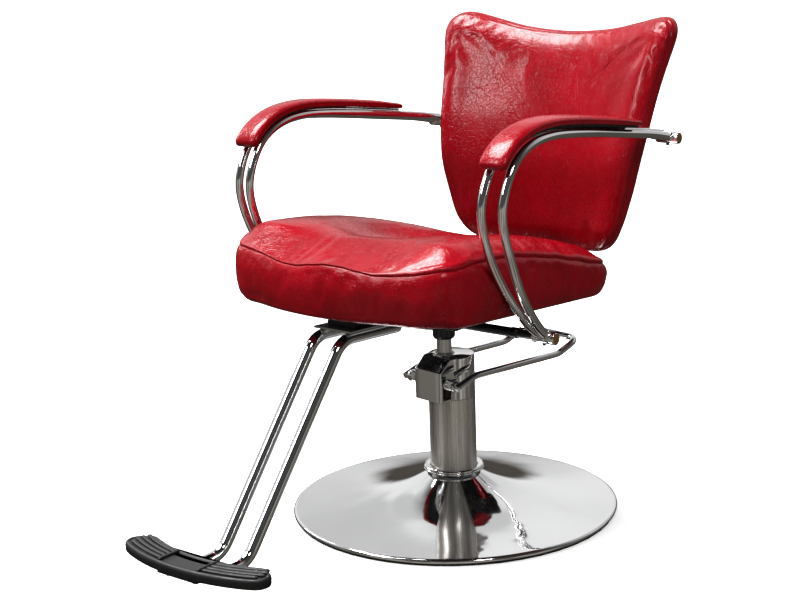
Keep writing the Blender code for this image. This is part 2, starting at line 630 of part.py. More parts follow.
def make_back(materials, swivel):
    cushion = back_layer([(0.30, -0.028), (0.60, -0.028), (0.88, -0.027), (0.96, -0.021), (1.0, -0.008),
                          (1.0, 0.0060), (0.96, 0.0090), (0.88, 0.0090), (0.60, 0.0090), (0.30, 0.0090)])
    add_object("back_cushion", cushion, materials["leather"], swivel)
    board = back_layer([(0.30, 0.0094), (0.60, 0.0094), (0.88, 0.0094), (0.96, 0.0094), (0.96, 0.0170),
                        (0.88, 0.0170), (0.60, 0.0170), (0.30, 0.0170)])
    add_object("back_board", board, materials["plywood"], swivel)
    cover = back_layer([(0.30, 0.0174), (0.60, 0.0174), (0.88, 0.0174), (0.96, 0.0174), (0.985, 0.0174),
                        (0.985, 0.0205), (0.96, 0.0230), (0.88, 0.0235), (0.60, 0.0235), (0.30, 0.0235)])
    add_object("back_rear_cover", cover, materials["leather"], swivel)


def make_back_strap(materials, swivel):
    """Flat steel strap from under the seat, up behind the foot of the back."""
    path = filleted([(0, 0.1000, 0.3955), (0, 0.3300, 0.3795), (0, 0.3670, 0.4400), (0, 0.3760, 0.5600)],
                    0.035, 5)
    route = [(point.y, point.z) for point in path]
    section = [(-0.0300, -0.0025), (0.0300, -0.0025), (0.0300, 0.0025), (-0.0300, 0.0025)]
    add_object("back_strap", swept_section(route, 0.0, [section] * len(route)), materials["black"], swivel)


# ---------------------------------------------------------------- footrest
def make_footrest(materials, swivel):
    for side, name in ((1, "left"), (-1, "right")):
        points = [(side * FOOT_TUBE_X, y, z) for y, z in
                  ((-0.1700, 0.3960), (-0.3190, 0.4040), (-0.5720, 0.0880), (-0.6520, 0.0880))]
        tube = tube_shape(filleted(points, 0.048, 6), FOOT_TUBE_RADIUS)
        add_object("footrest_tube_" + name, tube, materials["chrome"], swivel)
        screw = rod_shape(0.0055, -0.0042, 0.0, 16, chamfer=0.0015)
        add_object("foot_plate_screw_" + name, screw, materials["black"], swivel,
                   (side * FOOT_TUBE_X, -0.6900, FOOT_PLATE_Z - 0.0046))
    bridge = swept_section([(-0.3080, 0.4158), (-0.2400, 0.4122), (-0.1800, 0.4090)], 0.0,
                           [[(-0.042, -0.0012), (0.042, -0.0012), (0.042, 0.0024), (-0.042, 0.0024)]] * 3)
    add_object("footrest_bridge", bridge, materials["chrome"], swivel)
    mount = extruded_along_x([(-0.2850, 0.4174), (-0.1950, 0.4126), (-0.1950, 0.4244), (-0.2850, 0.4307)], 0.030)
    add_object("footrest_mount", mount, materials["black"], swivel)
    tongue = block_shape((-0.0450, -0.7010, FOOT_PLATE_Z - 0.0042), (0.0450, -0.6530, FOOT_PLATE_Z - GAP))
    add_object("foot_plate_tongue", tongue, materials["black"], swivel)
    add_object("foot_plate", foot_plate_shape(), materials["plastic"], swivel)


def foot_plate_shape():
    """Crescent foot plate: convex edge to the front, rounded ends swept back."""
    front_radius, front_y = 0.370, -0.7065
    rear_radius, rear_y = 0.300, -0.6505
    outline = []
    for step in range(13):
        angle = math.radians(-20.5 + 41 * step / 12)
        outline.append((front_radius * math.sin(angle), front_y + front_radius * (1 - math.cos(angle))))
    tip = outline[-1]
    for step in range(1, 6):
        angle = math.radians(-60 + 150 * step / 6)
        outline.append((tip[0] + 0.0005 + 0.0270 * math.cos(angle), tip[1] + 0.0270 + 0.0250 * math.sin(angle)))
    for step in range(13):
        angle = math.radians(24.5 - 49 * step / 12)
        outline.append((rear_radius * math.sin(angle), rear_y + rear_radius * (1 - math.cos(angle))))
    for step in range(5, 0, -1):
        angle = math.radians(-60 + 150 * step / 6)
        outline.append((-tip[0] - 0.0005 - 0.0270 * math.cos(angle), tip[1] + 0.0270 + 0.0250 * math.sin(angle)))
    return plate_shape(outline, FOOT_PLATE_Z, FOOT_PLATE_Z + FOOT_PLATE_THICK)


# ---------------------------------------------------------------- assembly
def main():
    clear_scene()
    materials = {
        "leather": make_material("red_leatherette", RED, 0.30, 0.0),
        "chrome": make_material("chrome", CHROME, 0.06, 1.0),
        "steel": make_material("brushed_steel", STEEL, 0.35, 1.0),
        "iron": make_material("cast_iron", (0.08, 0.08, 0.08, 1.0), 0.6, 0.8),
        "black": make_material("black_paint", BLACK, 0.35, 0.2),
        "rubber": make_material("black_rubber", RUBBER, 0.7, 0.0),
        "plastic": make_material("black_plastic", BLACK, 0.55, 0.0),
        "plywood": make_material("plywood", PLYWOOD, 0.7, 0.0),
    }
    pump = make_empty("pump_axis", (0, 0, 0), None, (0, 0, PUMP_YAW))
    ram_place = Matrix.Rotation(PUMP_YAW, 3, "Z") @ Vector((0, -RAM_OFFSET, 0))
    lift = make_empty("lift_axis", ram_place)
    swivel = make_empty("swivel_axis", ram_place)
    seat = make_empty("seat_frame", (0, 0, SEAT_BASE_Z), swivel, (-SEAT_TILT, 0, 0))
    pedal = make_empty("pedal_axis", (0, SHAFT_Y, SHAFT_Z), pump)
    bpy.context.view_layer.update()

    make_base(materials)
    make_column(materials, pump)
    make_head(materials, pump)
    make_head_cover(materials, pump)
    make_pedal(materials, pedal)
    make_plunger(materials, pump)
    make_ram(materials, lift, swivel)
    make_socket(materials, swivel)
    make_seat(materials, seat)
    make_lower_bar(materials, swivel)
    make_upper_bar(materials, swivel)
    make_arms(materials, swivel)
    make_back(materials, swivel)
    make_back_strap(materials, swivel)
    make_footrest(materials, swivel)


main()
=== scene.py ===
import json
import math

import bmesh
import bpy
from mathutils import Matrix, Vector, kdtree, noise


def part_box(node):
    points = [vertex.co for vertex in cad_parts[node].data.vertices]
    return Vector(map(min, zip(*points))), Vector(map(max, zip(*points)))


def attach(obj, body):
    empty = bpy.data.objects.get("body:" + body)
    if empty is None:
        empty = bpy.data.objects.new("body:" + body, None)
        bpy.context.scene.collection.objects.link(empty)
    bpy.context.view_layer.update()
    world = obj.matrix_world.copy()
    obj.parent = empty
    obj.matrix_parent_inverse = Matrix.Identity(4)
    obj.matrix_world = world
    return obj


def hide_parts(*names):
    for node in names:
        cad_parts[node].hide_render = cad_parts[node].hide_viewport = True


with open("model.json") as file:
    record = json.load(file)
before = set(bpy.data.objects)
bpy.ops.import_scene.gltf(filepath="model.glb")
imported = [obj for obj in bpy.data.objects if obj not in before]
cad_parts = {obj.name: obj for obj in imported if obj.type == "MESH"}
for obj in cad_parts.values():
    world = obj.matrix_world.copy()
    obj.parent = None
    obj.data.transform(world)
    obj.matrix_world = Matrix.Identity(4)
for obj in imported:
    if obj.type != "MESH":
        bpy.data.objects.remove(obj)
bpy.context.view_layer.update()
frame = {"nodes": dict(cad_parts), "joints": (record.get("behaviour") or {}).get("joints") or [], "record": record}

# ---------------------------------------------------------------- frames of the moving bodies
JOINTS = {joint["name"]: joint for joint in frame["joints"]}
PEDAL_AXIS = JOINTS["pedal"]["axis"]
PUMP = Matrix.Rotation(math.atan2(-PEDAL_AXIS[1], -PEDAL_AXIS[0]), 4, "Z")
PEDAL_HUB = PUMP.inverted() @ Vector(JOINTS["pedal"]["pos_m"])
PEDAL = PUMP @ Matrix.Translation(PEDAL_HUB)
SWIVEL = Vector((JOINTS["swivel"]["pos_m"][0], JOINTS["swivel"]["pos_m"][1], 0.0))
CHAIR = Matrix.Translation(SWIVEL)
SEAT_TILT = math.radians(4.0)
SEAT_BASE_Z = 0.4215
SEAT = CHAIR @ Matrix.Translation((0, 0, SEAT_BASE_Z)) @ Matrix.Rotation(-SEAT_TILT, 4, "X")
RAM_OFFSET = 0.0166

# ---------------------------------------------------------------- sizes shared by several pieces
SIDES = ((1, "left"), (-1, "right"))
BASE_RADIUS = 0.305
NECK_RADIUS = 0.0452
NECK_Z = 0.0775
COLUMN_RADIUS = 0.0437
COVER_BOTTOM = 0.2221
COVER_TOP = 0.3015
SLEEVE_RADIUS = 0.0108
SLEEVE_IN = 0.2453
SLEEVE_OUT = 0.2915
LOWER_BAR = Vector((0.0, -0.0595, 0.3845))
UPPER_BAR = Vector((0.0, 0.3493, 0.6771))
ARM_TUBE_RADIUS = 0.0076
ARM_INNER_X = 0.2600
ARM_OUTER_X = 0.2764
ARM_SPREAD = 0.0190
PAD_LEAN = -0.03
FOOT_TUBE_X = 0.0295
FOOT_TUBE_RADIUS = 0.0105
FOOT_PLATE_Z = 0.1003
FOOT_PLATE_TOP = 0.1178
FOOT_FRONT_RADIUS = 0.370
FOOT_FRONT_Y = -0.7065
FOOT_REAR_RADIUS = 0.300
FOOT_REAR_Y = -0.6505
SEAT_POINTS = 360
BACK_POINTS = 360
REAR_SEAM = 0.055
# Height of the seat's seam: by distance across along the front, by distance back along the sides.
FRONT_SEAM = ((-0.229, 0.094), (-0.202, 0.096), (-0.171, 0.094), (-0.140, 0.092), (-0.108, 0.088),
              (-0.076, 0.084), (-0.044, 0.084), (-0.012, 0.089), (0.021, 0.093), (0.054, 0.092),
              (0.086, 0.087), (0.118, 0.082), (0.149, 0.083), (0.180, 0.087), (0.211, 0.092),
              (0.234, 0.097))
SIDE_SEAM = ((-0.280, 0.099), (-0.240, 0.105), (-0.190, 0.107), (-0.130, 0.106), (-0.067, 0.098),
             (-0.002, 0.089), (0.063, 0.077), (0.129, 0.064), (0.180, 0.057))

# ---------------------------------------------------------------- studio light and camera
WALL_FRONT = 0.05
WALL_REAR = 0.72
CEILING = 0.03
GROUND_FRONT = (0.400, 0.380, 0.345)
GROUND_DARK = (0.110, 0.101, 0.088)
GROUND_REAR = (0.085, 0.076, 0.066)
AMBIENT_LOW = (0.15, 0.146, 0.142)
AMBIENT_HIGH = (0.52, 0.52, 0.525)
CAMERA_PLACE = Vector((1.9608, -2.5118, 1.1655))
CAMERA_HEADING = 0.6914
CAMERA_TILT = 0.2343
CAMERA_ROLL = 0.0339
CAMERA_LENS = 79.94
SOFTBOX_DISTANCE = 3.0
FLOOR_RADIUS = 45.0

# ---------------------------------------------------------------- covers settled as cloth
CLOTH_VOXEL = 0.006
CLOTH_FRAMES = 20
SEAM_HOLD = 0.006


# ---------------------------------------------------------------- small maths
def clamp(value, low=0.0, high=1.0):
    """The value held between two limits."""
    return max(low, min(high, value))


def smoothstep(low, high, value):
    share = clamp((value - low) / (high - low))
    return share * share * (3 - 2 * share)


def mix(a, b, share):
    """Straight-line blend from a to b."""
    return a + (b - a) * share


def filleted(points, radius, steps=6):
    """Path with each inner corner replaced by an arc of the bend radius."""
    points = [Vector(point) for point in points]
    path = [points[0]]
    for before, corner, after in zip(points, points[1:], points[2:]):
        towards, away = (before - corner).normalized(), (after - corner).normalized()
        half = towards.angle(away) / 2
        setback = min(radius / math.tan(half), (before - corner).length * 0.49,
                      (after - corner).length * 0.49)
        bend = setback * math.tan(half)
        centre = corner + (towards + away).normalized() * bend / math.sin(half)
        first = (corner + towards * setback - centre).normalized()
        last = (corner + away * setback - centre).normalized()
        for step in range(steps + 1):
            path.append(centre + first.slerp(last, step / steps) * bend)
    path.append(points[-1])
    return path


def evenly(points, count, closed=False):
    """The same line with evenly spaced points."""
    line = list(points) + ([points[0]] if closed else [])
    length = [0.0]
    for before, after in zip(line, line[1:]):
        length.append(length[-1] + (after - before).length)
    result, index = [], 0
    stops = count if closed else count - 1
    for sample in range(count):
        target = length[-1] * sample / stops
        while index < len(line) - 2 and length[index + 1] < target:
            index += 1
        share = (target - length[index]) / max(length[index + 1] - length[index], 1e-9)
        result.append(line[index].lerp(line[index + 1], share))
    return result


def relaxed(points, passes, closed=False):
    """Moving average along a line; the ends of an open line stay put."""
    points = list(points)
    for _ in range(passes):
        moved = list(points)
        for index in range(0 if closed else 1, len(points) - (0 if closed else 1)):
            before, after = points[index - 1], points[(index + 1) % len(points)]
            moved[index] = points[index] * 0.5 + (before + after) * 0.25
        points = moved
    return points


def spline(points, steps):
    """Catmull-Rom curve through all the points but the first and the last two."""
    fine = []
    for p0, p1, p2, p3 in zip(points, points[1:], points[2:], points[3:]):
        for step in range(steps):
            t = step / steps
            fine.append(0.5 * (2 * p1 + (p2 - p0) * t + (2 * p0 - 5 * p1 + 4 * p2 - p3) * t ** 2
                               + (3 * p1 - p0 - 3 * p2 + p3) * t ** 3))
    return fine


def smooth_route(points, samples, passes):
    """Smooth curve through the points, evened out and relaxed."""
    points = [Vector(point) for point in points]
    ends = [points[0] * 2 - points[1]] + points + [points[-1] * 2 - points[-2]]
    return relaxed(evenly(spline(ends, 16) + points[-1:], samples), passes)


def out_of(outline):
    """Outward unit normals of a closed plan outline."""
    normals = []
    for index in range(len(outline)):
        along = (outline[(index + 1) % len(outline)] - outline[index - 1]).normalized()
        normals.append(Vector((along.y, -along.x)))
    return normals


def moved_in(outline, normals, targets, inset):
    """Outline points moved towards their targets, or straight out where the inset is negative."""
    points = []
    for p, n, q in zip(outline, normals, targets):
        points.append(p + (q - p).normalized() * inset if inset > 0 else p - n * inset)
    return points


# ---------------------------------------------------------------- mesh builders
def loft(rings, low="cap", high="cap"):
    """Quads between equal closed rings; each end is a cap, a pole point or left open."""
    bm = bmesh.new()
    loops = [[bm.verts.new(point) for point in ring] for ring in rings]
    count = len(loops[0])
    for lower, upper in zip(loops, loops[1:]):
        for index in range(count):
            following = (index + 1) % count
            bm.faces.new((lower[index], lower[following], upper[following], upper[index]))
    for loop, end in ((loops[0], low), (loops[-1], high)):
        if isinstance(end, Vector):
            tip = bm.verts.new(end)
            for index, vert in enumerate(loop):
                bm.faces.new((vert, loop[(index + 1) % count], tip))
        elif end == "cap":
            bm.faces.new(loop)
    return bm


def lathe(profile, steps=96, fillet=0.0, axis="Z"):
    """Turned piece from (radius, height) corners, with small fillets; radius 0 closes an end."""
    points = [Vector((radius, 0.0, height)) for radius, height in profile]
    closed = not (profile[0][0] == 0.0 and profile[-1][0] == 0.0)
    if fillet:
        if closed:
            middle = (points[-1] + points[0]) / 2
            points = filleted([middle] + points + [middle], fillet, 3)[:-1]
        else:
            points = filleted(points, fillet, 3)
    bm = bmesh.new()
    verts = [bm.verts.new(point) for point in points]
    pairs = list(zip(verts, verts[1:])) + ([(verts[-1], verts[0])] if closed else [])
    edges = [bm.edges.new(pair) for pair in pairs]
    bmesh.ops.spin(bm, geom=verts + edges, cent=(0, 0, 0), axis=(0, 0, 1), angle=2 * math.pi, steps=steps)
    bmesh.ops.remove_doubles(bm, verts=bm.verts, dist=1e-6)
    if axis == "X":
        bmesh.ops.rotate(bm, verts=bm.verts, matrix=Matrix.Rotation(math.pi / 2, 3, "Y"))
    return bm


def sweep(path, radius, sides=28, rounding=0.0012):
    """Round bar along a path, with its two end edges rounded."""
    tangents = [(path[min(i + 1, len(path) - 1)] - path[max(i - 1, 0)]).normalized()
                for i in range(len(path))]
    normal = tangents[0].orthogonal().normalized()
    rings = []
    for index, point in enumerate(path):
        if index:
            normal.rotate(tangents[index - 1].rotation_difference(tangents[index]))
        side = tangents[index].cross(normal)
        rings.append((point, normal.copy(), side, radius))
    ends = []
    for point, across, side, size in (rings[0], rings[-1]):
        sign = 1 if point is rings[-1][0] else -1
        tangent = tangents[-1] if sign > 0 else tangents[0]
        extra = []
        for step in range(1, 4):
            angle = math.pi / 2 * step / 3
            centre = point + tangent * sign * rounding * math.sin(angle)
            extra.append((centre, across, side, size - rounding * (1 - math.cos(angle))))
        ends.append(extra)
    rings = list(reversed(ends[0])) + rings + ends[1]
    turns = [2 * math.pi * i / sides for i in range(sides)]
    return loft([[p + (n * math.cos(a) + s * math.sin(a)) * r for a in turns] for p, n, s, r in rings])


def rounded_block(low, high, radius, segments=3):
    """Box between two corners with rounded edges."""
    bm = bmesh.new()
    bmesh.ops.create_cube(bm, size=1.0)
    low, high = Vector(low), Vector(high)
    bmesh.ops.scale(bm, vec=high - low, verts=bm.verts)
    bmesh.ops.translate(bm, vec=(low + high) / 2, verts=bm.verts)
    bmesh.ops.bevel(bm, geom=bm.edges, offset=radius, segments=segments, profile=0.5, affect="EDGES")
    return bm


def merged(parts):
    """Several bmeshes as one."""
    mesh = bpy.data.meshes.new("merge")
    whole = bmesh.new()
    for part in parts:
        part.to_mesh(mesh)
        part.free()
        whole.from_mesh(mesh)
    bpy.data.meshes.remove(mesh)
    return whole


def linked(name, data):
    """A new object in the scene."""
    obj = bpy.data.objects.new(name, data)
    bpy.context.scene.collection.objects.link(obj)
    return obj


def piece(name, bm, finish, body, place=Matrix.Identity(4), replaces=(), angle=40):
    """A visible piece: placed, given its material, riding on its body."""
    bmesh.ops.transform(bm, matrix=place, verts=bm.verts)
    bmesh.ops.recalc_face_normals(bm, faces=bm.faces)
    mesh = bpy.data.meshes.new(name)
    bm.to_mesh(mesh)
    bm.free()
    mesh.materials.append(MATERIALS[finish])
    mesh.shade_smooth()
    mesh.set_sharp_from_angle(angle=math.radians(angle))
    obj = linked(name, mesh)
    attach(obj, body)
    if replaces:
        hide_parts(*replaces)
    return obj


def cut(obj, bm, place=Matrix.Identity(4)):
    """Subtract a shape from a piece and apply the result."""
    mesh = bpy.data.meshes.new("cutter")
    bmesh.ops.recalc_face_normals(bm, faces=bm.faces)
    bm.to_mesh(mesh)
    bm.free()
    mesh.transform(place)
    cutter = linked("cutter", mesh)
    modifier = obj.modifiers.new("cut", "BOOLEAN")
    modifier.operation = "DIFFERENCE"
    modifier.object = cutter
    bpy.context.view_layer.update()
    result = bpy.data.meshes.new_from_object(obj.evaluated_get(bpy.context.evaluated_depsgraph_get()))
    obj.modifiers.clear()
    obj.data = result
    bpy.data.objects.remove(cutter)


# ---------------------------------------------------------------- materials
class Nodes:
    """Short names for building a node tree."""

    def __init__(self, tree):
        self.tree = tree

    def add(self, kind, **values):
        node = self.tree.nodes.new(kind)
        for key, value in values.items():
            setattr(node, key, value)
        return node

    def link(self, output, target):
        self.tree.links.new(output, target)

    def scaled(self, coordinates, scale):
        """Coordinates scaled by axis."""
        node = self.add("ShaderNodeMapping")
        node.inputs["Scale"].default_value = scale
        self.link(coordinates, node.inputs["Vector"])
        return node.outputs[0]

    def ranged(self, value, low, high, to_low, to_high):
        node = self.add("ShaderNodeMapRange", interpolation_type="SMOOTHSTEP")
        for index, number in enumerate((low, high, to_low, to_high), 1):
            node.inputs[index].default_value = number
        self.link(value, node.inputs[0])
        return node.outputs[0]

    def maths(self, operation, a, b):
        node = self.add("ShaderNodeMath", operation=operation)
        for index, item in enumerate((a, b)):
            if isinstance(item, (int, float)):
                node.inputs[index].default_value = item
            else:
                self.link(item, node.inputs[index])
        return node.outputs[0]

    def blend(self, share, a, b):
        """Colour between a and b; each is a colour or another node's output."""
        node = self.add("ShaderNodeMix", data_type="RGBA")
        self.link(share, node.inputs["Factor"])
        for socket, item in ((node.inputs[6], a), (node.inputs[7], b)):
            if isinstance(item, tuple):
                socket.default_value = (*item, 1.0)
            else:
                self.link(item, socket)
        return node.outputs[2]


class Graph(Nodes):
    """A Principled material whose nodes work in object coordinates."""

    def __init__(self, name, colour, roughness, metallic=0.0, **constants):
        self.material = bpy.data.materials.new(name)
        self.material.use_nodes = True
        super().__init__(self.material.node_tree)
        self.shader = self.tree.nodes["Principled BSDF"]
        self.shader.inputs["Base Color"].default_value = (*colour, 1.0)
        self.shader.inputs["Roughness"].default_value = roughness
        self.shader.inputs["Metallic"].default_value = metallic
        for key, value in constants.items():
            self.shader.inputs[key.replace("_", " ")].default_value = value
        self.place = self.add("ShaderNodeTexCoord").outputs["Object"]

    def stretched(self, scale):
        return self.scaled(self.place, scale)

    def noise(self, scale, detail=4.0, vector=None, rough=0.55):
        node = self.add("ShaderNodeTexNoise")
        node.inputs["Scale"].default_value = scale
        node.inputs["Detail"].default_value = detail
        node.inputs["Roughness"].default_value = rough
        self.link(vector or self.place, node.inputs["Vector"])
        return node.outputs["Fac"]

    def creases(self, scale, vector, width):
        """0 along the edges of irregular cells, 1 inside them."""
        node = self.add("ShaderNodeTexVoronoi", feature="DISTANCE_TO_EDGE")
        node.inputs["Scale"].default_value = scale
        self.link(vector, node.inputs["Vector"])
        return self.ranged(node.outputs["Distance"], 0.0, width, 0.0, 1.0)

    def warped(self, scale, amount):
        """Object coordinates pushed about by noise."""
        source = self.add("ShaderNodeTexNoise")
        source.inputs["Scale"].default_value = scale
        source.inputs["Detail"].default_value = 3.0
        self.link(self.place, source.inputs["Vector"])
        shift = self.add("ShaderNodeVectorMath", operation="MULTIPLY_ADD")
        shift.inputs[1].default_value = (amount, amount, amount)
        self.link(source.outputs["Color"], shift.inputs[0])
        self.link(self.place, shift.inputs[2])
        return shift.outputs[0]

    def bump(self, height, strength, distance):
        node = self.add("ShaderNodeBump")
        node.inputs["Strength"].default_value = strength
        node.inputs["Distance"].default_value = distance
        self.link(height, node.inputs["Height"])
        self.link(node.outputs[0], self.shader.inputs["Normal"])
        self.link(node.outputs[0], self.shader.inputs["Coat Normal"])

    def colour(self, output):
        self.link(output, self.shader.inputs["Base Color"])

    def roughness(self, output):
        self.link(output, self.shader.inputs["Roughness"])


def grained(name, base, tints, gloss, grain, **constants):
    """Two tints, a roughness range and a surface grain, each spread by its own noise."""
    g = Graph(name, *base, **constants)
    scale, detail, first, second = tints
    g.colour(g.blend(g.noise(scale, detail), first, second))
    scale, detail, low, high, smooth, rough = gloss
    g.roughness(g.ranged(g.noise(scale, detail), low, high, smooth, rough))
    scale, detail, strength, distance = grain
    g.bump(g.noise(scale, detail), strength, distance)
    return g.material


def leatherette():
    """Glossy red leatherette: fine crackle, coarser creases in patches, mottled colour, painted shade along the
    creases.
    """
    g = Graph("red_leatherette", (0.30, 0.0015, 0.009), 0.3, Specular_IOR_Level=0.08,
              Coat_Weight=0.50, Coat_Roughness=0.12)
    warped = g.warped(38.0, 0.016)
    fine = g.creases(170.0, warped, 0.10)
    coarse = g.creases(62.0, warped, 0.07)
    patches = g.ranged(g.noise(7.0, 3.0), 0.46, 0.60, 0.0, 1.0)
    coarse_here = g.maths("MAXIMUM", coarse, g.maths("SUBTRACT", 1.0, patches))
    pores = g.noise(1100.0, 2.0)
    height = g.maths("ADD", g.maths("MULTIPLY", fine, 0.35), g.maths("MULTIPLY", coarse_here, 0.60))
    height = g.maths("ADD", height, g.maths("MULTIPLY", pores, 0.12))
    height = g.maths("ADD", height, g.noise(26.0, 3.0))
    g.bump(height, 0.35, 0.0009)
    mottle = g.ranged(g.noise(9.0, 6.0, rough=0.62), 0.30, 0.70, 0.0, 1.0)
    body = g.blend(mottle, (0.250, 0.0011, 0.0075), (0.340, 0.0022, 0.0120))
    # Painted shade: the colour darkens along the fine crackle lines and the coarser creases.
    crease_shade = g.maths("MULTIPLY", g.ranged(fine, 0.0, 1.0, 0.75, 1.0),
                   g.ranged(coarse_here, 0.0, 1.0, 0.72, 1.0))
    g.colour(g.blend(crease_shade, (0.13, 0.0004, 0.0035), body))
    g.roughness(g.ranged(g.noise(60.0, 4.0), 0.3, 0.7, 0.20, 0.33))
    return g.material


def pressed_chrome():
    """Chrome on pressed sheet: wider waves with a faint finer ripple on them."""
    g = Graph("pressed_chrome", (0.80, 0.805, 0.815), 0.05, 1.0)
    g.roughness(g.ranged(g.noise(22.0, 5.0), 0.35, 0.75, 0.03, 0.085))
    g.colour(g.blend(g.noise(6.0, 2.0), (0.76, 0.76, 0.765), (0.86, 0.865, 0.87)))
    waves = g.maths("ADD", g.noise(7.0, 1.0), g.maths("MULTIPLY", g.noise(30.0, 1.0), 0.10))
    g.bump(waves, 0.16, 0.010)
    return g.material


def brushed(name, colour, streak, dark, metallic):
    """Steel with fine lines along Z and soft darker bands."""
    g = Graph(name, colour, 0.32, metallic, Anisotropic=0.45)
    lines = g.noise(1.0, 5.0, g.stretched((streak, streak, 5.0)), 0.7)
    bands = g.noise(1.0, 2.0, g.stretched((46.0, 46.0, 1.2)))
    tone = g.maths("ADD", g.maths("MULTIPLY", lines, 0.16), g.maths("MULTIPLY", bands, 0.84))
    g.colour(g.blend(g.ranged(tone, 0.34, 0.66, 0.0, 1.0), dark, colour))
    g.roughness(g.ranged(lines, 0.25, 0.75, 0.20, 0.42))
    g.bump(lines, 0.10, 0.0004)
    return g.material


def moulded(name, colour, rough):
    """Moulded black plastic or rubber with a fine spark-eroded grain and scuffs."""
    g = Graph(name, colour, rough)
    light = tuple(channel * 2.2 for channel in colour)
    scuffs = g.ranged(g.noise(55.0, 7.0, rough=0.7), 0.52, 0.72, 0.0, 1.0)
    g.colour(g.blend(scuffs, colour, light))
    g.roughness(g.ranged(g.noise(38.0, 5.0), 0.3, 0.7, rough - 0.10, rough + 0.12))
    g.bump(g.noise(1500.0, 2.0), 0.22, 0.0005)
    return g.material


def plywood():
    """Raw plywood: grain along Y, plies across Z."""
    g = Graph("plywood", (0.42, 0.28, 0.16), 0.7)
    grain = g.noise(1.0, 6.0, g.stretched((70.0, 5.0, 260.0)), 0.6)
    g.colour(g.blend(g.ranged(grain, 0.3, 0.7, 0.0, 1.0), (0.26, 0.15, 0.075), (0.50, 0.34, 0.20)))
    g.roughness(g.ranged(grain, 0.3, 0.7, 0.55, 0.80))
    g.bump(grain, 0.25, 0.0005)
    return g.material


def dust_cloth():
    """Black non-woven cloth: short matted fibres."""
    g = Graph("black_dust_cloth", (0.010, 0.010, 0.010), 0.92, Sheen_Weight=0.2)
    fibres = g.noise(1.0, 6.0, g.stretched((1400.0, 500.0, 900.0)), 0.75)
    g.colour(g.blend(fibres, (0.005, 0.005, 0.005), (0.024, 0.024, 0.025)))
    g.bump(fibres, 0.5, 0.0006)
    return g.material


MATERIALS = {
    "leather": leatherette(),
    "thread": grained("red_thread", ((0.30, 0.004, 0.015), 0.5),
                      (600.0, 3.0, (0.20, 0.002, 0.009), (0.42, 0.010, 0.030)),
                      (600.0, 3.0, 0.0, 1.0, 0.5, 0.5), (2500.0, 2.0, 0.4, 0.0003)),
    "chrome": grained("chrome", ((0.80, 0.805, 0.815), 0.05, 1.0),
                      (9.0, 2.0, (0.74, 0.74, 0.745), (0.86, 0.865, 0.87)),
                      (34.0, 5.0, 0.35, 0.75, 0.035, 0.10), (16.0, 1.0, 0.10, 0.002)),
    "sheet": pressed_chrome(),
    "column": brushed("brushed_column", (0.72, 0.69, 0.645), 420.0, (0.36, 0.335, 0.305), 0.62),
    "satin": brushed("satin_steel", (0.66, 0.65, 0.63), 900.0, (0.46, 0.45, 0.44), 0.75),
    "paint": grained("black_paint", ((0.011, 0.011, 0.012), 0.3),
                     (40.0, 5.0, (0.008, 0.008, 0.009), (0.020, 0.020, 0.021)),
                     (90.0, 4.0, 0.3, 0.7, 0.24, 0.42), (420.0, 2.0, 0.10, 0.0004),
                     Coat_Weight=0.3, Coat_Roughness=0.12),
    "plastic": moulded("black_plastic", (0.013, 0.013, 0.014), 0.50),
    "rubber": moulded("black_rubber", (0.017, 0.017, 0.017), 0.72),
    "iron": grained("cast_iron", ((0.06, 0.06, 0.062), 0.6, 0.7),
                    (60.0, 6.0, (0.04, 0.04, 0.042), (0.11, 0.105, 0.10)),
                    (120.0, 4.0, 0.3, 0.7, 0.48, 0.72), (380.0, 4.0, 0.35, 0.0008)),
    "cloth": dust_cloth(),
    "end_plug": grained("brass_plug", ((0.32, 0.19, 0.075), 0.34, 0.55),
                        (300.0, 4.0, (0.22, 0.125, 0.045), (0.40, 0.25, 0.105)),
                        (160.0, 3.0, 0.3, 0.7, 0.28, 0.45), (900.0, 3.0, 0.12, 0.0004)),
    "plywood": plywood(),
}
CAD_FINISH = {
    "chrome": "chrome", "brushed_steel": "satin", "black_paint": "paint", "black_rubber": "rubber",
    "black_plastic": "plastic", "cast_iron": "iron", "plywood": "plywood", "red_leatherette": "leather",
}


def finish_cad_nodes():
    """Every CAD node gets the detailed material of its slot; pieces below replace many of them."""
    for subpart in frame["record"]["subparts"]:
        node = frame["nodes"][subpart["node"]]
        node.data.materials.clear()
        node.data.materials.append(MATERIALS[CAD_FINISH[subpart["material_slot"]]])
    board = frame["nodes"]["seat_board"]
    board.data.materials.clear()
    board.data.materials.append(MATERIALS["cloth"])


# ---------------------------------------------------------------- base and column
def base_height(radius):
    inward = (BASE_RADIUS - 0.0065 - radius) / (BASE_RADIUS - 0.0065 - NECK_RADIUS)
    return 0.0125 + (NECK_Z - 0.0125) * (0.34 * inward + 0.66 * inward ** 3.4)


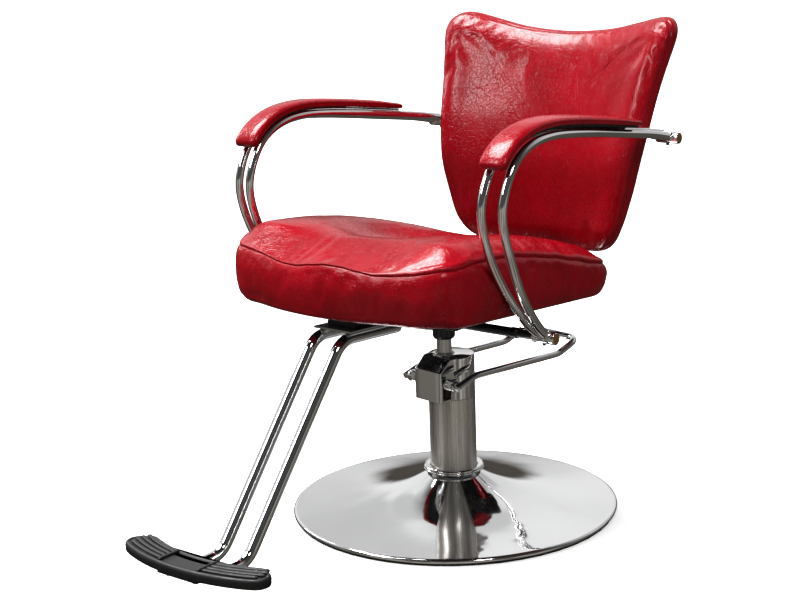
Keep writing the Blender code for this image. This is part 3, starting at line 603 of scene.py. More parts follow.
def make_base():
    steps = 60
    radii = [mix(0.2985, NECK_RADIUS, (step / steps) ** 0.85) for step in range(steps + 1)]
    outer = [(radius, base_height(radius)) for radius in radii]
    inner = [(radius, height - 0.0015) for radius, height in reversed(outer)]
    rim = [(0.3012, 0.0095), (0.3024, 0.0068), (0.3028, 0.0056), (0.3042, 0.0054), (0.3049, 0.0066),
           (0.3050, 0.0084), (0.3044, 0.0102), (0.3028, 0.0115), (0.3008, 0.0122)]
    piece("chrome_base", lathe(outer + inner + rim, 192), "sheet", "base", replaces=["base_shell"])
    collar = [(0.0440, 0.0780), (0.0545, 0.0780), (0.0567, 0.0792), (0.0567, 0.0812), (0.0553, 0.0822),
              (0.0553, 0.0828), (0.0563, 0.0834), (0.0563, 0.0856), (0.0540, 0.0875), (0.0470, 0.0875),
              (0.0440, 0.0862)]
    piece("chrome_collar", lathe(collar, 128, 0.0006), "chrome", "base", replaces=["ring_collar"])
    tube = [(0.0400, 0.0128), (COLUMN_RADIUS, 0.0128), (COLUMN_RADIUS, 0.2215), (0.0400, 0.2215)]
    piece("column_tube", lathe(tube, 128, 0.0005), "column", "base", PUMP, ["pump_cylinder"])


def cover_outline(front, inset, side_points=6, arc_points=44):
    """Plan of the head cover: round back, straight sides, box front with small corner radii."""
    radius, half, corner = COLUMN_RADIUS - inset, 0.0344 - inset, max(0.0026 - inset * 0.4, 0.0012)
    front = front + inset
    start = math.acos(half / radius)
    outline = []
    for step in range(arc_points + 1):
        angle = -start + (math.pi + 2 * start) * step / arc_points
        outline.append(Vector((radius * math.cos(angle), radius * math.sin(angle))))
    meet = outline[0].y
    for sign in (-1, 1):
        straight = [Vector((sign * half, mix(meet, front + corner, step / side_points)))
                    for step in range(1, side_points)]
        bend = []
        for step in range(5):
            angle = math.pi / 2 * step / 4
            bend.append(Vector((sign * (half - corner + corner * math.cos(angle)),
                                front + corner - corner * math.sin(angle))))
        if sign < 0:
            outline += straight + bend
            outline += [Vector((mix(-1, 1, step / 5) * (half - corner), front)) for step in range(1, 5)]
        else:
            outline += list(reversed(bend)) + list(reversed(straight))
    return outline


def cover_front(z, inset=0.0):
    """Depth of the cover's front at a height: upright below, sloping back above."""
    shoulder, ridge, face = 0.2793, -0.0370, -0.0614
    slope = (ridge - face) / (COVER_TOP - shoulder)
    reach = 0.004
    return face + slope * max(0.0, z - shoulder) * smoothstep(-reach, reach, z - shoulder)


def make_head_cover():
    wall, rounding = 0.0018, 0.0022
    heights = [COVER_BOTTOM, 0.224, 0.245, 0.265, 0.2745, 0.2765, 0.2780, 0.2793, 0.2806, 0.2822, 0.2845,
               0.289, 0.294, COVER_TOP - rounding]
    rings = []
    for z in heights:
        rings.append([(p.x, p.y, z) for p in cover_outline(cover_front(z), 0.0)])
    for step in range(1, 5):
        angle = math.pi / 2 * step / 4
        z = COVER_TOP - rounding + rounding * math.sin(angle)
        inset = rounding * (1 - math.cos(angle))
        rings.append([(p.x, p.y, z) for p in cover_outline(cover_front(z), inset)])
    top = rings[-1]
    centre = Vector((0, -RAM_OFFSET))
    for share in (0.10, 0.25, 0.40, 0.55, 0.70, 0.85, 1.0):
        ring = []
        for x, y, _ in top:
            away = Vector((x, y)) - centre
            target = centre + away.normalized() * 0.0190
            point = Vector((x, y)).lerp(target, share)
            ring.append((point.x, point.y, COVER_TOP + 0.0030 * math.sin(share * math.pi / 2)))
        rings.append(ring)
    rings.append([(x, y, COVER_TOP - wall) for x, y, _ in rings[-1]])
    inner = [[(p.x, p.y, z) for p in cover_outline(cover_front(z), wall)]
             for z in (COVER_TOP - wall - 0.001, 0.2800, 0.2600, COVER_BOTTOM)]
    rings += inner
    rings = [[Vector(point) for point in ring] for ring in rings]
    bm = loft(rings + [rings[0]], low="open", high="open")
    bmesh.ops.remove_doubles(bm, verts=bm.verts, dist=1e-6)
    cover = piece("chrome_head_cover", bm, "chrome", "base", PUMP, ["head_cover"], angle=32)
    for side in (-1, 1):
        near, far = sorted((side * 0.026, side * 0.042))
        slot = rounded_block((near, PEDAL_HUB.y - 0.0095, 0.2262),
                             (far, PEDAL_HUB.y + 0.0125, 0.2655), 0.0012)
        cut(cover, slot, PUMP)
    cover.data.materials.clear()
    cover.data.materials.append(MATERIALS["chrome"])

    gland = [(0.0145, 0.2978), (0.0185, 0.2978), (0.0185, 0.3052), (0.0172, 0.3072), (0.0145, 0.3072)]
    piece("ram_gland_ring", lathe(gland, 72, 0.0006), "satin", "base",
          PUMP @ Matrix.Translation((0, -RAM_OFFSET, 0)), ["ram_gland"])


# ---------------------------------------------------------------- pedal
def make_pedal():
    shaft = [(0.0, -0.0555), (0.0060, -0.0555), (0.0060, 0.0555), (0.0, 0.0555)]
    piece("pedal_cross_shaft", lathe(shaft, 40, 0.0005, "X"), "satin", "pedal", PEDAL, ["pedal_shaft"])
    for side, name in SIDES:
        near, far = sorted((side * 0.0362, side * 0.0608))
        boss = [(0.0063, near), (0.0104, near), (0.0104, far), (0.0063, far)]
        piece("chrome_boss_" + name, lathe(boss, 64, 0.0013, "X"), "chrome", "pedal", PEDAL,
              ["pedal_boss_" + name])
        near, far = sorted((side * 0.0395, side * 0.0570))
        saddle = rounded_block((near, -0.0095, -0.0015), (far, 0.0095, 0.0128), 0.0040, 5)
        piece("boss_saddle_" + name, saddle, "chrome", "pedal", PEDAL)
    half = [(0.0680, -0.0070, -0.0005), (0.0680, 0.0410, 0.0140), (0.0705, 0.2640, 0.0100),
            (0.0705, 0.3200, 0.0290)]
    ends = [(-x, y, z) for x, y, z in reversed(half)]
    path = relaxed(evenly(filleted(half + ends, 0.020, 10), 260), 8)
    piece("chrome_pedal_rod", sweep(path, 0.0065), "chrome", "pedal", PEDAL, ["pedal_rod"])


# ---------------------------------------------------------------- ram and socket
def make_ram():
    ram = [(0.0, 0.0295), (0.0140, 0.0295), (0.0140, 0.3400), (0.0128, 0.3700), (0.0, 0.3700)]
    piece("polished_ram", lathe(ram, 72, 0.0004), "satin", "swivel", CHAIR, ["ram"])
    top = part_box("seat_socket")[1].z - 0.0030
    socket = [(0.0, top), (0.0210, top), (0.0210, 0.3385), (0.0186, 0.3341), (0.0143, 0.3341),
              (0.0143, 0.3400), (0.0131, 0.3702), (0.0, 0.3702)]
    piece("black_socket", lathe(socket, 72, 0.0009), "paint", "swivel", CHAIR, ["seat_socket"])


# ---------------------------------------------------------------- cross bars, sleeves and arm tubes
def make_lower_bar():
    stub, bar, ring = 0.0076, 0.0085, 0.0097
    half = [(bar, 0.1970), (ring, 0.1982), (ring, 0.2105), (stub, 0.2125), (stub, 0.2800)]
    profile = [(0.0, -0.2800)] + [(r, -x) for r, x in reversed(half)] + half + [(0.0, 0.2800)]
    place = CHAIR @ Matrix.Translation(LOWER_BAR)
    piece("black_lower_bar", lathe(profile, 64, 0.0006, "X"), "paint", "swivel", place, ["lower_cross_bar"])
    for side, name in SIDES:
        near, far = sorted((side * 0.0560, side * 0.0860))
        block = rounded_block((near, LOWER_BAR.y - 0.0140, 0.3730),
                              (far, LOWER_BAR.y + 0.0140, 0.4085), 0.0015)
        piece("bar_clamp_block_" + name, block, "paint", "swivel", CHAIR, ["bar_clamp_" + name])


def make_upper_bar():
    radius, straight, rear = 0.0060, 0.2380, 0.0560
    half = [(0.2860, 0.0, 0.0), (straight, 0.0, 0.0), (0.1300, rear, 0.0)]
    path = relaxed(evenly(filleted(half + [(-x, y, z) for x, y, z in reversed(half)], 0.05, 12), 160), 4)
    place = CHAIR @ Matrix.Translation(UPPER_BAR)
    piece("black_upper_bar", sweep(path, radius, 24), "paint", "swivel", place, ["upper_cross_bar"])
    for side, name in SIDES:
        near, far = sorted((side * 0.0650, side * 0.0950))
        block = rounded_block((near, 0.0285, -0.0120), (far, rear + 0.0105, 0.0120), 0.0015)
        piece("back_bracket_block_" + name, block, "paint", "swivel", place, ["back_bracket_" + name])


def make_sleeve(level, side, name, centre, bore):
    """Closed chrome sleeve with its black set screw."""
    place = CHAIR @ Matrix.Translation(centre) @ Matrix.Diagonal((side, 1, 1, 1))
    profile = [(bore, SLEEVE_IN), (SLEEVE_RADIUS, SLEEVE_IN), (SLEEVE_RADIUS, SLEEVE_OUT),
               (0.0, SLEEVE_OUT), (0.0, SLEEVE_OUT - 0.0040), (bore, SLEEVE_OUT - 0.0040)]
    outer = filleted([Vector((r, 0, x)) for r, x in profile[:4]], 0.0011, 4)
    points = [(p.x, p.z) for p in outer] + profile[4:]
    piece(f"chrome_{level}_sleeve_{name}", lathe(points, 72, axis="X"), "chrome", "swivel", place,
          [f"{level}_sleeve_{name}"])
    plug = [(0.0, SLEEVE_OUT - 0.0010), (SLEEVE_RADIUS - 0.0011, SLEEVE_OUT - 0.0010),
            (SLEEVE_RADIUS - 0.0013, SLEEVE_OUT + 0.0003), (0.0, SLEEVE_OUT + 0.0004)]
    piece(f"{level}_sleeve_plug_{name}", lathe(plug, 64, 0.0002, "X"), "end_plug", "swivel", place)
    screw = [(0.0, -0.0142), (0.0014, -0.0142), (0.0014, -0.0124), (0.0015, -0.0124), (0.0015, -0.0142),
             (0.0030, -0.0142), (0.0030, -bore - 0.0005), (0.0, -bore - 0.0005)]
    piece(f"black_{level}_set_screw_{name}", lathe(screw, 32, 0.0002), "paint", "swivel",
          place @ Matrix.Translation((SLEEVE_IN + 0.021, 0, 0)), [f"{level}_set_screw_{name}"])


def arm_route(outer):
    """Centre line of an arm tube; the outer tube swings out and runs just inside the inner one."""
    shape = [(-0.0660, 0.3900), (-0.0950, 0.4115), (-0.1380, 0.4560), (-0.1690, 0.4950), (-0.1990, 0.5420),
             (-0.2200, 0.5950), (-0.2240, 0.6400), (-0.1975, 0.6950), (-0.1640, 0.7220), (-0.1206, 0.7368),
             (-0.0700, 0.7405), (-0.0206, 0.7375), (0.0554, 0.7288), (0.1610, 0.7138), (0.2760, 0.6968),
             (0.3400, 0.6850)]
    route = []
    for y, z in shape:
        swing = max(0.0, 1.0 - ((y + 0.20) / 0.40) ** 2) if z > 0.55 else max(0.0, (z - 0.39) / 0.16)
        if not outer:
            route.append((ARM_INNER_X, y, z))
            continue
        back = 0.0100 * clamp((0.74 - z) / 0.06) * min(swing, 1.0)
        drop = 0.0040 * clamp((z - 0.62) / 0.06) if y < 0.30 else 0.0055
        route.append((ARM_OUTER_X + ARM_SPREAD * min(swing, 1.0), y + (back if y < 0 else 0.0), z - drop))
    return route


def weld(path_end, along, around):
    """Smooth fillet of weld metal round a tube where it meets its sleeve."""
    across = along.orthogonal().normalized()
    other = along.cross(across)
    ring = []
    for step in range(28):
        angle = 2 * math.pi * step / 28
        point = path_end + (across * math.cos(angle) + other * math.sin(angle)) * (ARM_TUBE_RADIUS + 0.0002)
        offset = point - around
        offset.x = 0.0
        if offset.length < SLEEVE_RADIUS:
            point = point + offset.normalized() * (SLEEVE_RADIUS - offset.length)
        wobble = 0.0016 + 0.0004 * math.sin(5 * angle) * math.cos(3 * angle)
        ring.append((point, wobble))
    rings = []
    for index, (point, size) in enumerate(ring):
        tangent = (ring[(index + 1) % 28][0] - ring[index - 1][0]).normalized()
        out = (point - path_end).normalized()
        side = tangent.cross(out).normalized()
        rings.append([point + (out * math.cos(a) + side * math.sin(a)) * size
                      for a in (2 * math.pi * k / 10 for k in range(10))])
    return loft(rings + [rings[0]], low="open", high="open")


def make_arms():
    for side, name in SIDES:
        mirror = CHAIR @ Matrix.Diagonal((side, 1, 1, 1))
        make_sleeve("lower", side, name, LOWER_BAR, 0.0079)
        make_sleeve("upper", side, name, UPPER_BAR, 0.0063)
        for outer in (False, True):
            label = "outer" if outer else "inner"
            route = smooth_route(arm_route(outer), 240, 30)
            piece(f"chrome_arm_{name}_{label}", sweep(route, ARM_TUBE_RADIUS, 32), "chrome", "swivel",
                  mirror, [f"arm_tube_{name}_{label}"])
            welds = []
            for centre, near, step in ((LOWER_BAR, route[0], route[1]), (UPPER_BAR, route[-1], route[-2])):
                along = (step - near).normalized()
                welds.append(weld(near + along * 0.004, along, centre))
            bm = merged(welds)
            bmesh.ops.remove_doubles(bm, verts=bm.verts, dist=1e-6)
            piece(f"arm_welds_{name}_{label}", bm, "chrome", "swivel", mirror)


# ---------------------------------------------------------------- armrest pads
def pad_path(samples=90):
    route = smooth_route(arm_route(False), 240, 30)
    chosen = [Vector((0, p.y, p.z)) for p in route if p.z > 0.689 and p.y < 0.222]
    return evenly(chosen, samples)


def pad_section(half, low, high, count=64):
    """Cross-section of a pad (across, up): flat foot, near-upright band, seam, crowned top."""
    seam = low + 0.42 * (high - low)
    points = []
    for step in range(count):
        angle = 2 * math.pi * step / count
        across, up = math.cos(angle), math.sin(angle)
        if up >= 0:
            x = half * math.copysign(abs(across) ** 0.62, across)
            y = seam + (high - seam) * up ** 0.80
        else:
            x = half * math.copysign(abs(across) ** 0.26, across)
            y = seam + (seam - low) * -(abs(up) ** 0.55)
        groove = math.exp(-((y - seam) / 0.0011) ** 2) * 0.0009
        points.append((x - math.copysign(groove, x) if abs(x) > half * 0.5 else x, y))
    return points


def swept_sections(path, centre_x, section_at, lean):
    rings = []
    count = len(path)
    for index, point in enumerate(path):
        along = (path[min(index + 1, count - 1)] - path[max(index - 1, 0)]).normalized()
        up = Vector((1, 0, 0)).cross(along)
        rings.append([Vector((centre_x + across, point.y, point.z)) + up * (rise + lean * across)
                      for across, rise in section_at(index / (count - 1))])
    return rings


def make_pad(side, name):
    centre = (ARM_INNER_X + ARM_OUTER_X + ARM_SPREAD * 0.8) / 2
    rest = ARM_TUBE_RADIUS - 0.0001
    path = pad_path()
    length = sum((b - a).length for a, b in zip(path, path[1:]))

    def half_width(share):
        return mix(0.0268, 0.0192, smoothstep(0.0, 1.0, share) * 0.6 + share * 0.4)

    def pad_at(share):
        half = half_width(share)
        high = rest + mix(0.0208, 0.0176, share) - 0.0030 * smoothstep(0.80, 1.0, share)
        low = rest + 0.0036
        ends = min(share, 1 - share) * length
        pinch = math.sqrt(1 - (1 - min(ends / 0.013, 1.0)) ** 2)
        tight = mix(0.58, 1.0, pinch)
        middle = mix(low, high, 0.40)
        return [(x * mix(0.80, 1.0, pinch), middle + (y - middle) * tight)
                for x, y in pad_section(half, low, high)]

    def base_at(share):
        half = half_width(share) * 0.72
        return [(-half, rest), (half, rest), (half, rest + 0.0034), (-half, rest + 0.0034)]

    mirror = CHAIR @ Matrix.Diagonal((side, 1, 1, 1))
    rings = swept_sections(path, centre, pad_at, PAD_LEAN)
    middles = [sum(ring, Vector()) / len(ring) for ring in (rings[0], rings[-1])]
    front, rear = [[[point.lerp(middle, share) for point in ring] for share in (0.12, 0.35, 0.65)]
                   for ring, middle in zip((rings[0], rings[-1]), middles)]
    pad = piece("armrest_" + name, loft(front[::-1] + rings + rear, *middles), "leather", "swivel",
                mirror, ["arm_pad_" + name], angle=60)
    base = loft(swept_sections(path[2:-2], centre, base_at, PAD_LEAN))
    piece("armrest_base_" + name, base, "paint", "swivel", mirror, ["arm_pad_base_" + name])


# ---------------------------------------------------------------- upholstery helpers
def cloth_settled(obj, seam, held, cap=0.006):
    """Inflates a coarse copy of a cover held along its seam, and moves the fine mesh the same way."""
    scene = bpy.context.scene
    coarse = linked("cloth_copy", obj.data.copy())
    remesh = coarse.modifiers.new("remesh", "REMESH")
    remesh.mode = "VOXEL"
    remesh.voxel_size = CLOTH_VOXEL
    bpy.context.view_layer.update()
    graph = bpy.context.evaluated_depsgraph_get()
    coarse_mesh = bpy.data.meshes.new_from_object(coarse.evaluated_get(graph))
    coarse.modifiers.clear()
    coarse.data = coarse_mesh

    seam_tree = kdtree.KDTree(len(seam))
    for index, point in enumerate(seam):
        seam_tree.insert(point, index)
    seam_tree.balance()
    pins = coarse.vertex_groups.new(name="pins")
    for vert in coarse_mesh.vertices:
        if seam_tree.find(vert.co)[2] < SEAM_HOLD or held(vert.co):
            pins.add([vert.index], 1.0, "REPLACE")

    cloth = coarse.modifiers.new("cloth", "CLOTH")
    settings = cloth.settings
    settings.quality = 5
    settings.mass = 0.25
    settings.tension_stiffness = 22
    settings.compression_stiffness = 22
    settings.shear_stiffness = 12
    settings.bending_stiffness = 0.8
    settings.shrink_min = -0.02
    settings.use_pressure = True
    settings.uniform_pressure_force = 4.0
    settings.vertex_group_mass = "pins"
    settings.effector_weights.gravity = 0.0
    cloth.collision_settings.use_collision = False
    cloth.point_cache.frame_start = 1
    cloth.point_cache.frame_end = CLOTH_FRAMES
    for frame_number in range(1, CLOTH_FRAMES + 1):
        scene.frame_set(frame_number)
    graph = bpy.context.evaluated_depsgraph_get()
    settled = coarse.evaluated_get(graph).data
    moves = []
    tree = kdtree.KDTree(len(coarse_mesh.vertices))
    for before, after in zip(coarse_mesh.vertices, settled.vertices):
        move = after.co - before.co
        moves.append(move * cap / (cap + move.length))
        tree.insert(before.co, before.index)
    tree.balance()
    for vert in obj.data.vertices:
        total, weight = Vector(), 0.0
        for _, index, distance in tree.find_n(vert.co, 6):
            share = 1.0 / (distance + 0.002) ** 2
            total += moves[index] * share
            weight += share
        near = smoothstep(0.003, 0.014, seam_tree.find(vert.co)[2])
        vert.co += total / weight * near
    scene.frame_set(1)
    bpy.data.objects.remove(coarse)


def stitches(name, points, place):
    """A row of short thread stitches along a closed line."""
    spacing, length, radius = 0.0062, 0.0040, 0.00042
    parts = []
    total = sum((b - a).length for a, b in zip(points, points[1:] + points[:1]))
    even = evenly(points, int(total / spacing), closed=True)
    for index, point in enumerate(even):
        along = (even[(index + 1) % len(even)] - even[index - 1]).normalized()
        rotation = along.to_track_quat("Z", "Y").to_matrix().to_4x4()
        bm = bmesh.new()
        bmesh.ops.create_uvsphere(bm, u_segments=6, v_segments=5, radius=1.0)
        bmesh.ops.transform(bm, verts=bm.verts, matrix=Matrix.Translation(point) @ rotation
                            @ Matrix.Diagonal((radius, radius, length / 2, 1)))
        parts.append(bm)
    piece(name, merged(parts), "thread", "swivel", place)


# ---------------------------------------------------------------- seat
def seat_outline():
    """Plan of the cushion: rounded corners, bowed front and rear edges."""
    corners = [(0.248, -0.322, 0.068, -90), (0.243, 0.212, 0.062, 0),
               (-0.243, 0.212, 0.062, 90), (-0.248, -0.322, 0.068, 180)]
    outline = []
    for corner_x, corner_y, radius, first in corners:
        centre_x = corner_x - math.copysign(radius, corner_x)
        centre_y = corner_y - math.copysign(radius, corner_y)
        for step in range(11):
            angle = math.radians(first + 9 * step)
            outline.append(Vector((centre_x + radius * math.cos(angle),
                                   centre_y + radius * math.sin(angle))))
        if first in (-90, 90):
            continue
        low, high = (0.180, -0.180) if corner_y > 0 else (-0.180, 0.180)
        bow = 0.040 if corner_y > 0 else -0.034
        for step in range(1, 12):
            share = step / 12
            outline.append(Vector((mix(low, high, share), corner_y + bow * 4 * share * (1 - share))))
    return relaxed(evenly(outline, SEAT_POINTS, closed=True), 14, closed=True)


def along(table, position):
    """Value interpolated smoothly between a table's (position, value) pairs."""
    if position <= table[0][0]:
        return table[0][1]
    for (x0, v0), (x1, v1) in zip(table, table[1:]):
        if position <= x1:
            return mix(v0, v1, smoothstep(x0, x1, position) * 0.5 + 0.5 * (position - x0) / (x1 - x0))
    return table[-1][1]


def seat_seam(x, y, nx, ny):
    """Height of the seam between side band and top panel; it dips where the legs cross the front."""
    end = along(FRONT_SEAM, x) if ny < 0 else REAR_SEAM
    return nx * nx * along(SIDE_SEAM, y) + ny * ny * end


def seat_top(x, y):
    """Height of the top panel away from its edges: side bolsters and a round dish between them."""
    crest = 0.1345 - 0.36 * max(y + 0.22, 0.0) ** 2 - 0.30 * max(-0.26 - y, 0.0)
    lateral = smoothstep(0.06, 0.20, abs(x))
    front = smoothstep(-0.20, -0.34, y)
    crest -= (1 - lateral) * (0.007 + 0.012 * front)
    reach = math.sqrt((x / 0.158) ** 2 + ((y + 0.045) / 0.192) ** 2)
    dish = 0.031 * (1 - smoothstep(0.50, 1.06, reach))
    waves = 0.0012 * noise.noise(Vector((x * 14, y * 14, 3.1)))
    return crest - dish + waves


def make_seat():
    outline = seat_outline()
    normals = out_of(outline)
    targets = [Vector((clamp(p.x, -0.10, 0.10), clamp(p.y, -0.21, 0.08))) for p in outline]

    def ring(inset, height_at):
        bases = moved_in(outline, normals, targets, inset)
        return [Vector((b.x, b.y, height_at(b, p, n))) for b, p, n in zip(bases, outline, normals)]

    def edge_radius(n):
        return 0.011 + 0.015 * (2 * n.x * n.y) ** 2

    def turned_under(share):
        """Lower edge, rolled under with a larger radius at the corners."""
        points = []
        for p, n, q in zip(outline, normals, targets):
            radius = edge_radius(n)
            angle = share * math.pi / 2
            base = p + (q - p).normalized() * radius * (1 - math.sin(angle))
            points.append(Vector((base.x, base.y, radius * (1 - math.cos(angle)))))
        return points

    rings = [ring(0.060, lambda b, p, n: 0.0002), ring(0.034, lambda b, p, n: 0.0001)]
    rings += [turned_under(step / 8) for step in range(9)]
    for step in range(1, 17):
        share = step / 17
        bulge = 0.0045 * math.sin(math.pi * share) ** 0.7

        def band(b, p, n):
            return mix(edge_radius(n), seat_seam(p.x, p.y, n.x, n.y) - 0.003, share)

        rings.append(ring(-bulge, band))
    for inset, lift in ((0.0006, -0.0026), (0.0016, -0.0012), (0.0036, -0.0002), (0.0030, 0.0010),
                        (0.0022, 0.0026)):
        rings.append(ring(inset, lambda b, p, n: seat_seam(p.x, p.y, n.x, n.y) + lift))
    seam_ring = rings[-2]

    def top_height(b, p, n):
        low = seat_seam(p.x, p.y, n.x, n.y) + 0.0026
        width = n.x * n.x * 0.052 + n.y * n.y * (0.105 if n.y < 0 else 0.060)
        rise = math.sqrt(1 - (1 - clamp(((b - p).length - 0.002) / width)) ** 2)
        rise = mix(rise, smoothstep(0.0, 1.0, ((b - p).length - 0.002) / width), 0.25)
        return mix(low, seat_top(b.x, b.y), rise)

    for inset in (0.0030, 0.0045, 0.0065, 0.009, 0.012, 0.016, 0.021, 0.027, 0.034, 0.042, 0.051, 0.061,
                  0.072, 0.084, 0.097, 0.110):
        rings.append(ring(inset, top_height))
    last = rings[-1]
    centre = Vector((0.0, -0.065, 0.0))
    for share in (0.14, 0.28, 0.42, 0.56, 0.69, 0.81, 0.91):
        inner = []
        for point in last:
            flat = point.lerp(centre, share)
            inner.append(Vector((flat.x, flat.y, seat_top(flat.x, flat.y))))
        rings.append(relaxed(inner, 3, closed=True))
    bm = loft(rings, Vector((0, -0.06, 0.0004)), Vector((centre.x, centre.y, seat_top(centre.x, centre.y))))
    for vert in bm.verts:
        pleat = 0.0
        if vert.co.z > 0.01:
            pleat = 0.0011 * noise.noise(Vector((vert.co.x * 9, vert.co.y * 9, vert.co.z * 30)))
        vert.co += Vector((vert.co.x, vert.co.y + 0.06, 0)).normalized() * pleat
    seat = piece("seat_upholstery", bm, "leather", "swivel", SEAT, ["seat_cushion"], angle=70)
    away = SEAT.inverted()
    seam_points = [SEAT @ point for point in seam_ring]
    cloth_settled(seat, seam_points, lambda point: (away @ point).z < 0.012)

    sheet = [ring(0.030, lambda b, p, n: -0.0010), ring(0.0295, lambda b, p, n: -0.0004),
             ring(0.030, lambda b, p, n: 0.0002)]
    piece("seat_dust_cover", loft(sheet), "cloth", "swivel", SEAT)
    row = ring(0.0012, lambda b, p, n: seat_seam(p.x, p.y, n.x, n.y))
    stitches("seat_stitching", [point + Vector((0, 0, 0.0052)) for point in row], SEAT)


# ---------------------------------------------------------------- back
def back_outline():
    """Butterfly outline (x, z): narrow foot, flared sides, rounded ears, dipped top."""
    right = [(0.060, 0.4520), (0.120, 0.4520), (0.1600, 0.4640), (0.1870, 0.5000), (0.2070, 0.5560),
             (0.2210, 0.6050), (0.2340, 0.6800), (0.2440, 0.7600), (0.2570, 0.8350), (0.2620, 0.8620),
             (0.2550, 0.8840), (0.2370, 0.8930), (0.2100, 0.8900), (0.1600, 0.8780), (0.1050, 0.8660),
             (0.0500, 0.8600)]
    loop = [(0.0, 0.4510)] + right + [(0.0, 0.8580)] + [(-x, z) for x, z in reversed(right)]
    points = [Vector((x, z, 0.0)) for x, z in loop]
    fine = spline(points[-1:] + points + points[:2], 12)
    even = relaxed(evenly(fine, BACK_POINTS, closed=True), 10, closed=True)
    return [Vector((p.x, p.y)) for p in even]


def back_surface(x, z):
    """Depth (y) of the back's middle surface: leans back, and its sides wrap forwards."""
    edge = 0.3030 + 0.55 * max(z - 0.60, 0.0) ** 1.5
    rise = clamp((z - 0.50) / 0.34)
    half = 0.182 + 0.085 * (1 - (1 - rise) ** 1.6)
    wrap = 0.034 + 0.05 * max(z - 0.62, 0.0)
    return edge + wrap * (1 - min((x / half) ** 2, 1.1))


def back_creases(x, z, inset):
    """Gathers that run out to the ears and a soft fold under the top roll."""
    value = 0.0
    for ear in (-1, 1):
        dx, dz = x - ear * 0.225, z - 0.862
        reach = math.hypot(dx, dz)
        angle = math.atan2(dz, dx)
        fade = math.exp(-((reach - 0.045) / 0.035) ** 2)
        value += 0.0007 * fade * math.sin(11 * angle + 3 * noise.noise(Vector((x * 20, z * 20, ear))))
    fold = math.exp(-((inset - 0.050) / 0.018) ** 2) * smoothstep(0.80, 0.85, z)
    value += 0.0009 * fold * (0.7 + 0.6 * noise.noise(Vector((x * 16, z * 9, 5.0))))
    value += 0.0012 * noise.noise(Vector((x * 9, z * 9, 8.0)))
    return value


def make_back():
    outline = back_outline()
    normals = out_of(outline)
    targets = [Vector((clamp(p.x, -0.13, 0.13), clamp(p.y, 0.56, 0.785))) for p in outline]

    def on_surface(p, depth):
        return Vector((p.x, back_surface(p.x, p.y) + depth, p.y))

    def ring(inset, depth_at):
        return [on_surface(p, depth_at(p, inset)) for p in moved_in(outline, normals, targets, inset)]

    def inwards(last, shares, depth_at):
        """Rings from the last one in to the centre."""
        rings = []
        for share in shares:
            flats = [Vector((p.x, p.z)).lerp(centre, share) for p in last]
            rings.append(relaxed([on_surface(flat, depth_at(flat)) for flat in flats], 3, closed=True))
        return rings

    def flat_rings(rows):
        return [ring(inset, lambda b, i: depth) for inset, depth in rows]

    centre = Vector((0.0, 0.68))
    front_seam, rear_seam, face = -0.0085, 0.0150, -0.0285
    rings = flat_rings(((0.050, 0.0080), (0.020, 0.0080), (0.006, 0.0095), (0.003, rear_seam - 0.0005),
                        (0.0015, rear_seam)))
    for step in range(1, 12):
        share = step / 12
        bulge = 0.0030 * math.sin(math.pi * share) ** 0.7
        depth = mix(rear_seam, front_seam, share)
        rings += flat_rings(((0.0010 - bulge, depth),))
    rings += flat_rings(((0.0006, front_seam + 0.0012), (0.0017, front_seam),
                         (0.0010, front_seam - 0.0012)))
    roll = 0.040

    def front_depth(b, inset):
        share = clamp((inset - 0.001) / roll)
        rise = math.sqrt(1 - (1 - share) ** 2)
        pillow = -0.0035 * math.exp(-((inset - 0.036) / 0.026) ** 2) * smoothstep(0.55, 0.80, b.y)
        return mix(front_seam - 0.0012, face, rise) + pillow + back_creases(b.x, b.y, inset) * rise

    rings += [ring(inset, front_depth) for inset in
              (0.0020, 0.0034, 0.0052, 0.0075, 0.0105, 0.014, 0.018, 0.0225, 0.0275, 0.033, 0.039,
               0.0455, 0.0525, 0.060, 0.068)]
    rings += inwards(rings[-1], (0.12, 0.24, 0.36, 0.48, 0.60, 0.71, 0.82, 0.92),
                     lambda flat: front_depth(flat, 0.10))
    tip = on_surface(centre, front_depth(centre, 0.10))
    rear_tip = on_surface(centre, 0.0080)
    back = piece("back_upholstery", loft(rings, rear_tip, tip), "leather", "swivel", CHAIR,
                 ["back_cushion", "back_board"], angle=70)
    seam_points = [CHAIR @ point for point in ring(0.0015, lambda b, i: front_seam)]

    def behind(point):
        return point.y - SWIVEL.y > back_surface(point.x - SWIVEL.x, point.z) - 0.006

    cloth_settled(back, seam_points, behind, 0.0045)

    stitches("back_stitching", ring(0.0012, lambda b, i: front_seam - 0.0042), CHAIR)

    def rear_depth(b, inset=0.0):
        return 0.0235 + 0.4 * back_creases(b.x, b.y, 0.3)

    cover_rings = flat_rings(((0.050, 0.0155), (0.014, 0.0155), (0.0055, 0.0158), (0.0038, 0.0172),
                              (0.0034, 0.0190), (0.0046, 0.0210), (0.0072, 0.0225), (0.0120, 0.0233)))
    cover_rings += [ring(inset, rear_depth) for inset in (0.018, 0.028, 0.040, 0.055, 0.068)]
    cover_rings += inwards(cover_rings[-1], (0.15, 0.30, 0.45, 0.60, 0.75, 0.90), rear_depth)
    low_tip, high_tip = on_surface(centre, 0.0155), on_surface(centre, 0.0235)
    cover = piece("back_rear_upholstery", loft(cover_rings, low_tip, high_tip), "leather", "swivel", CHAIR,
                  ["back_rear_cover"], angle=70)


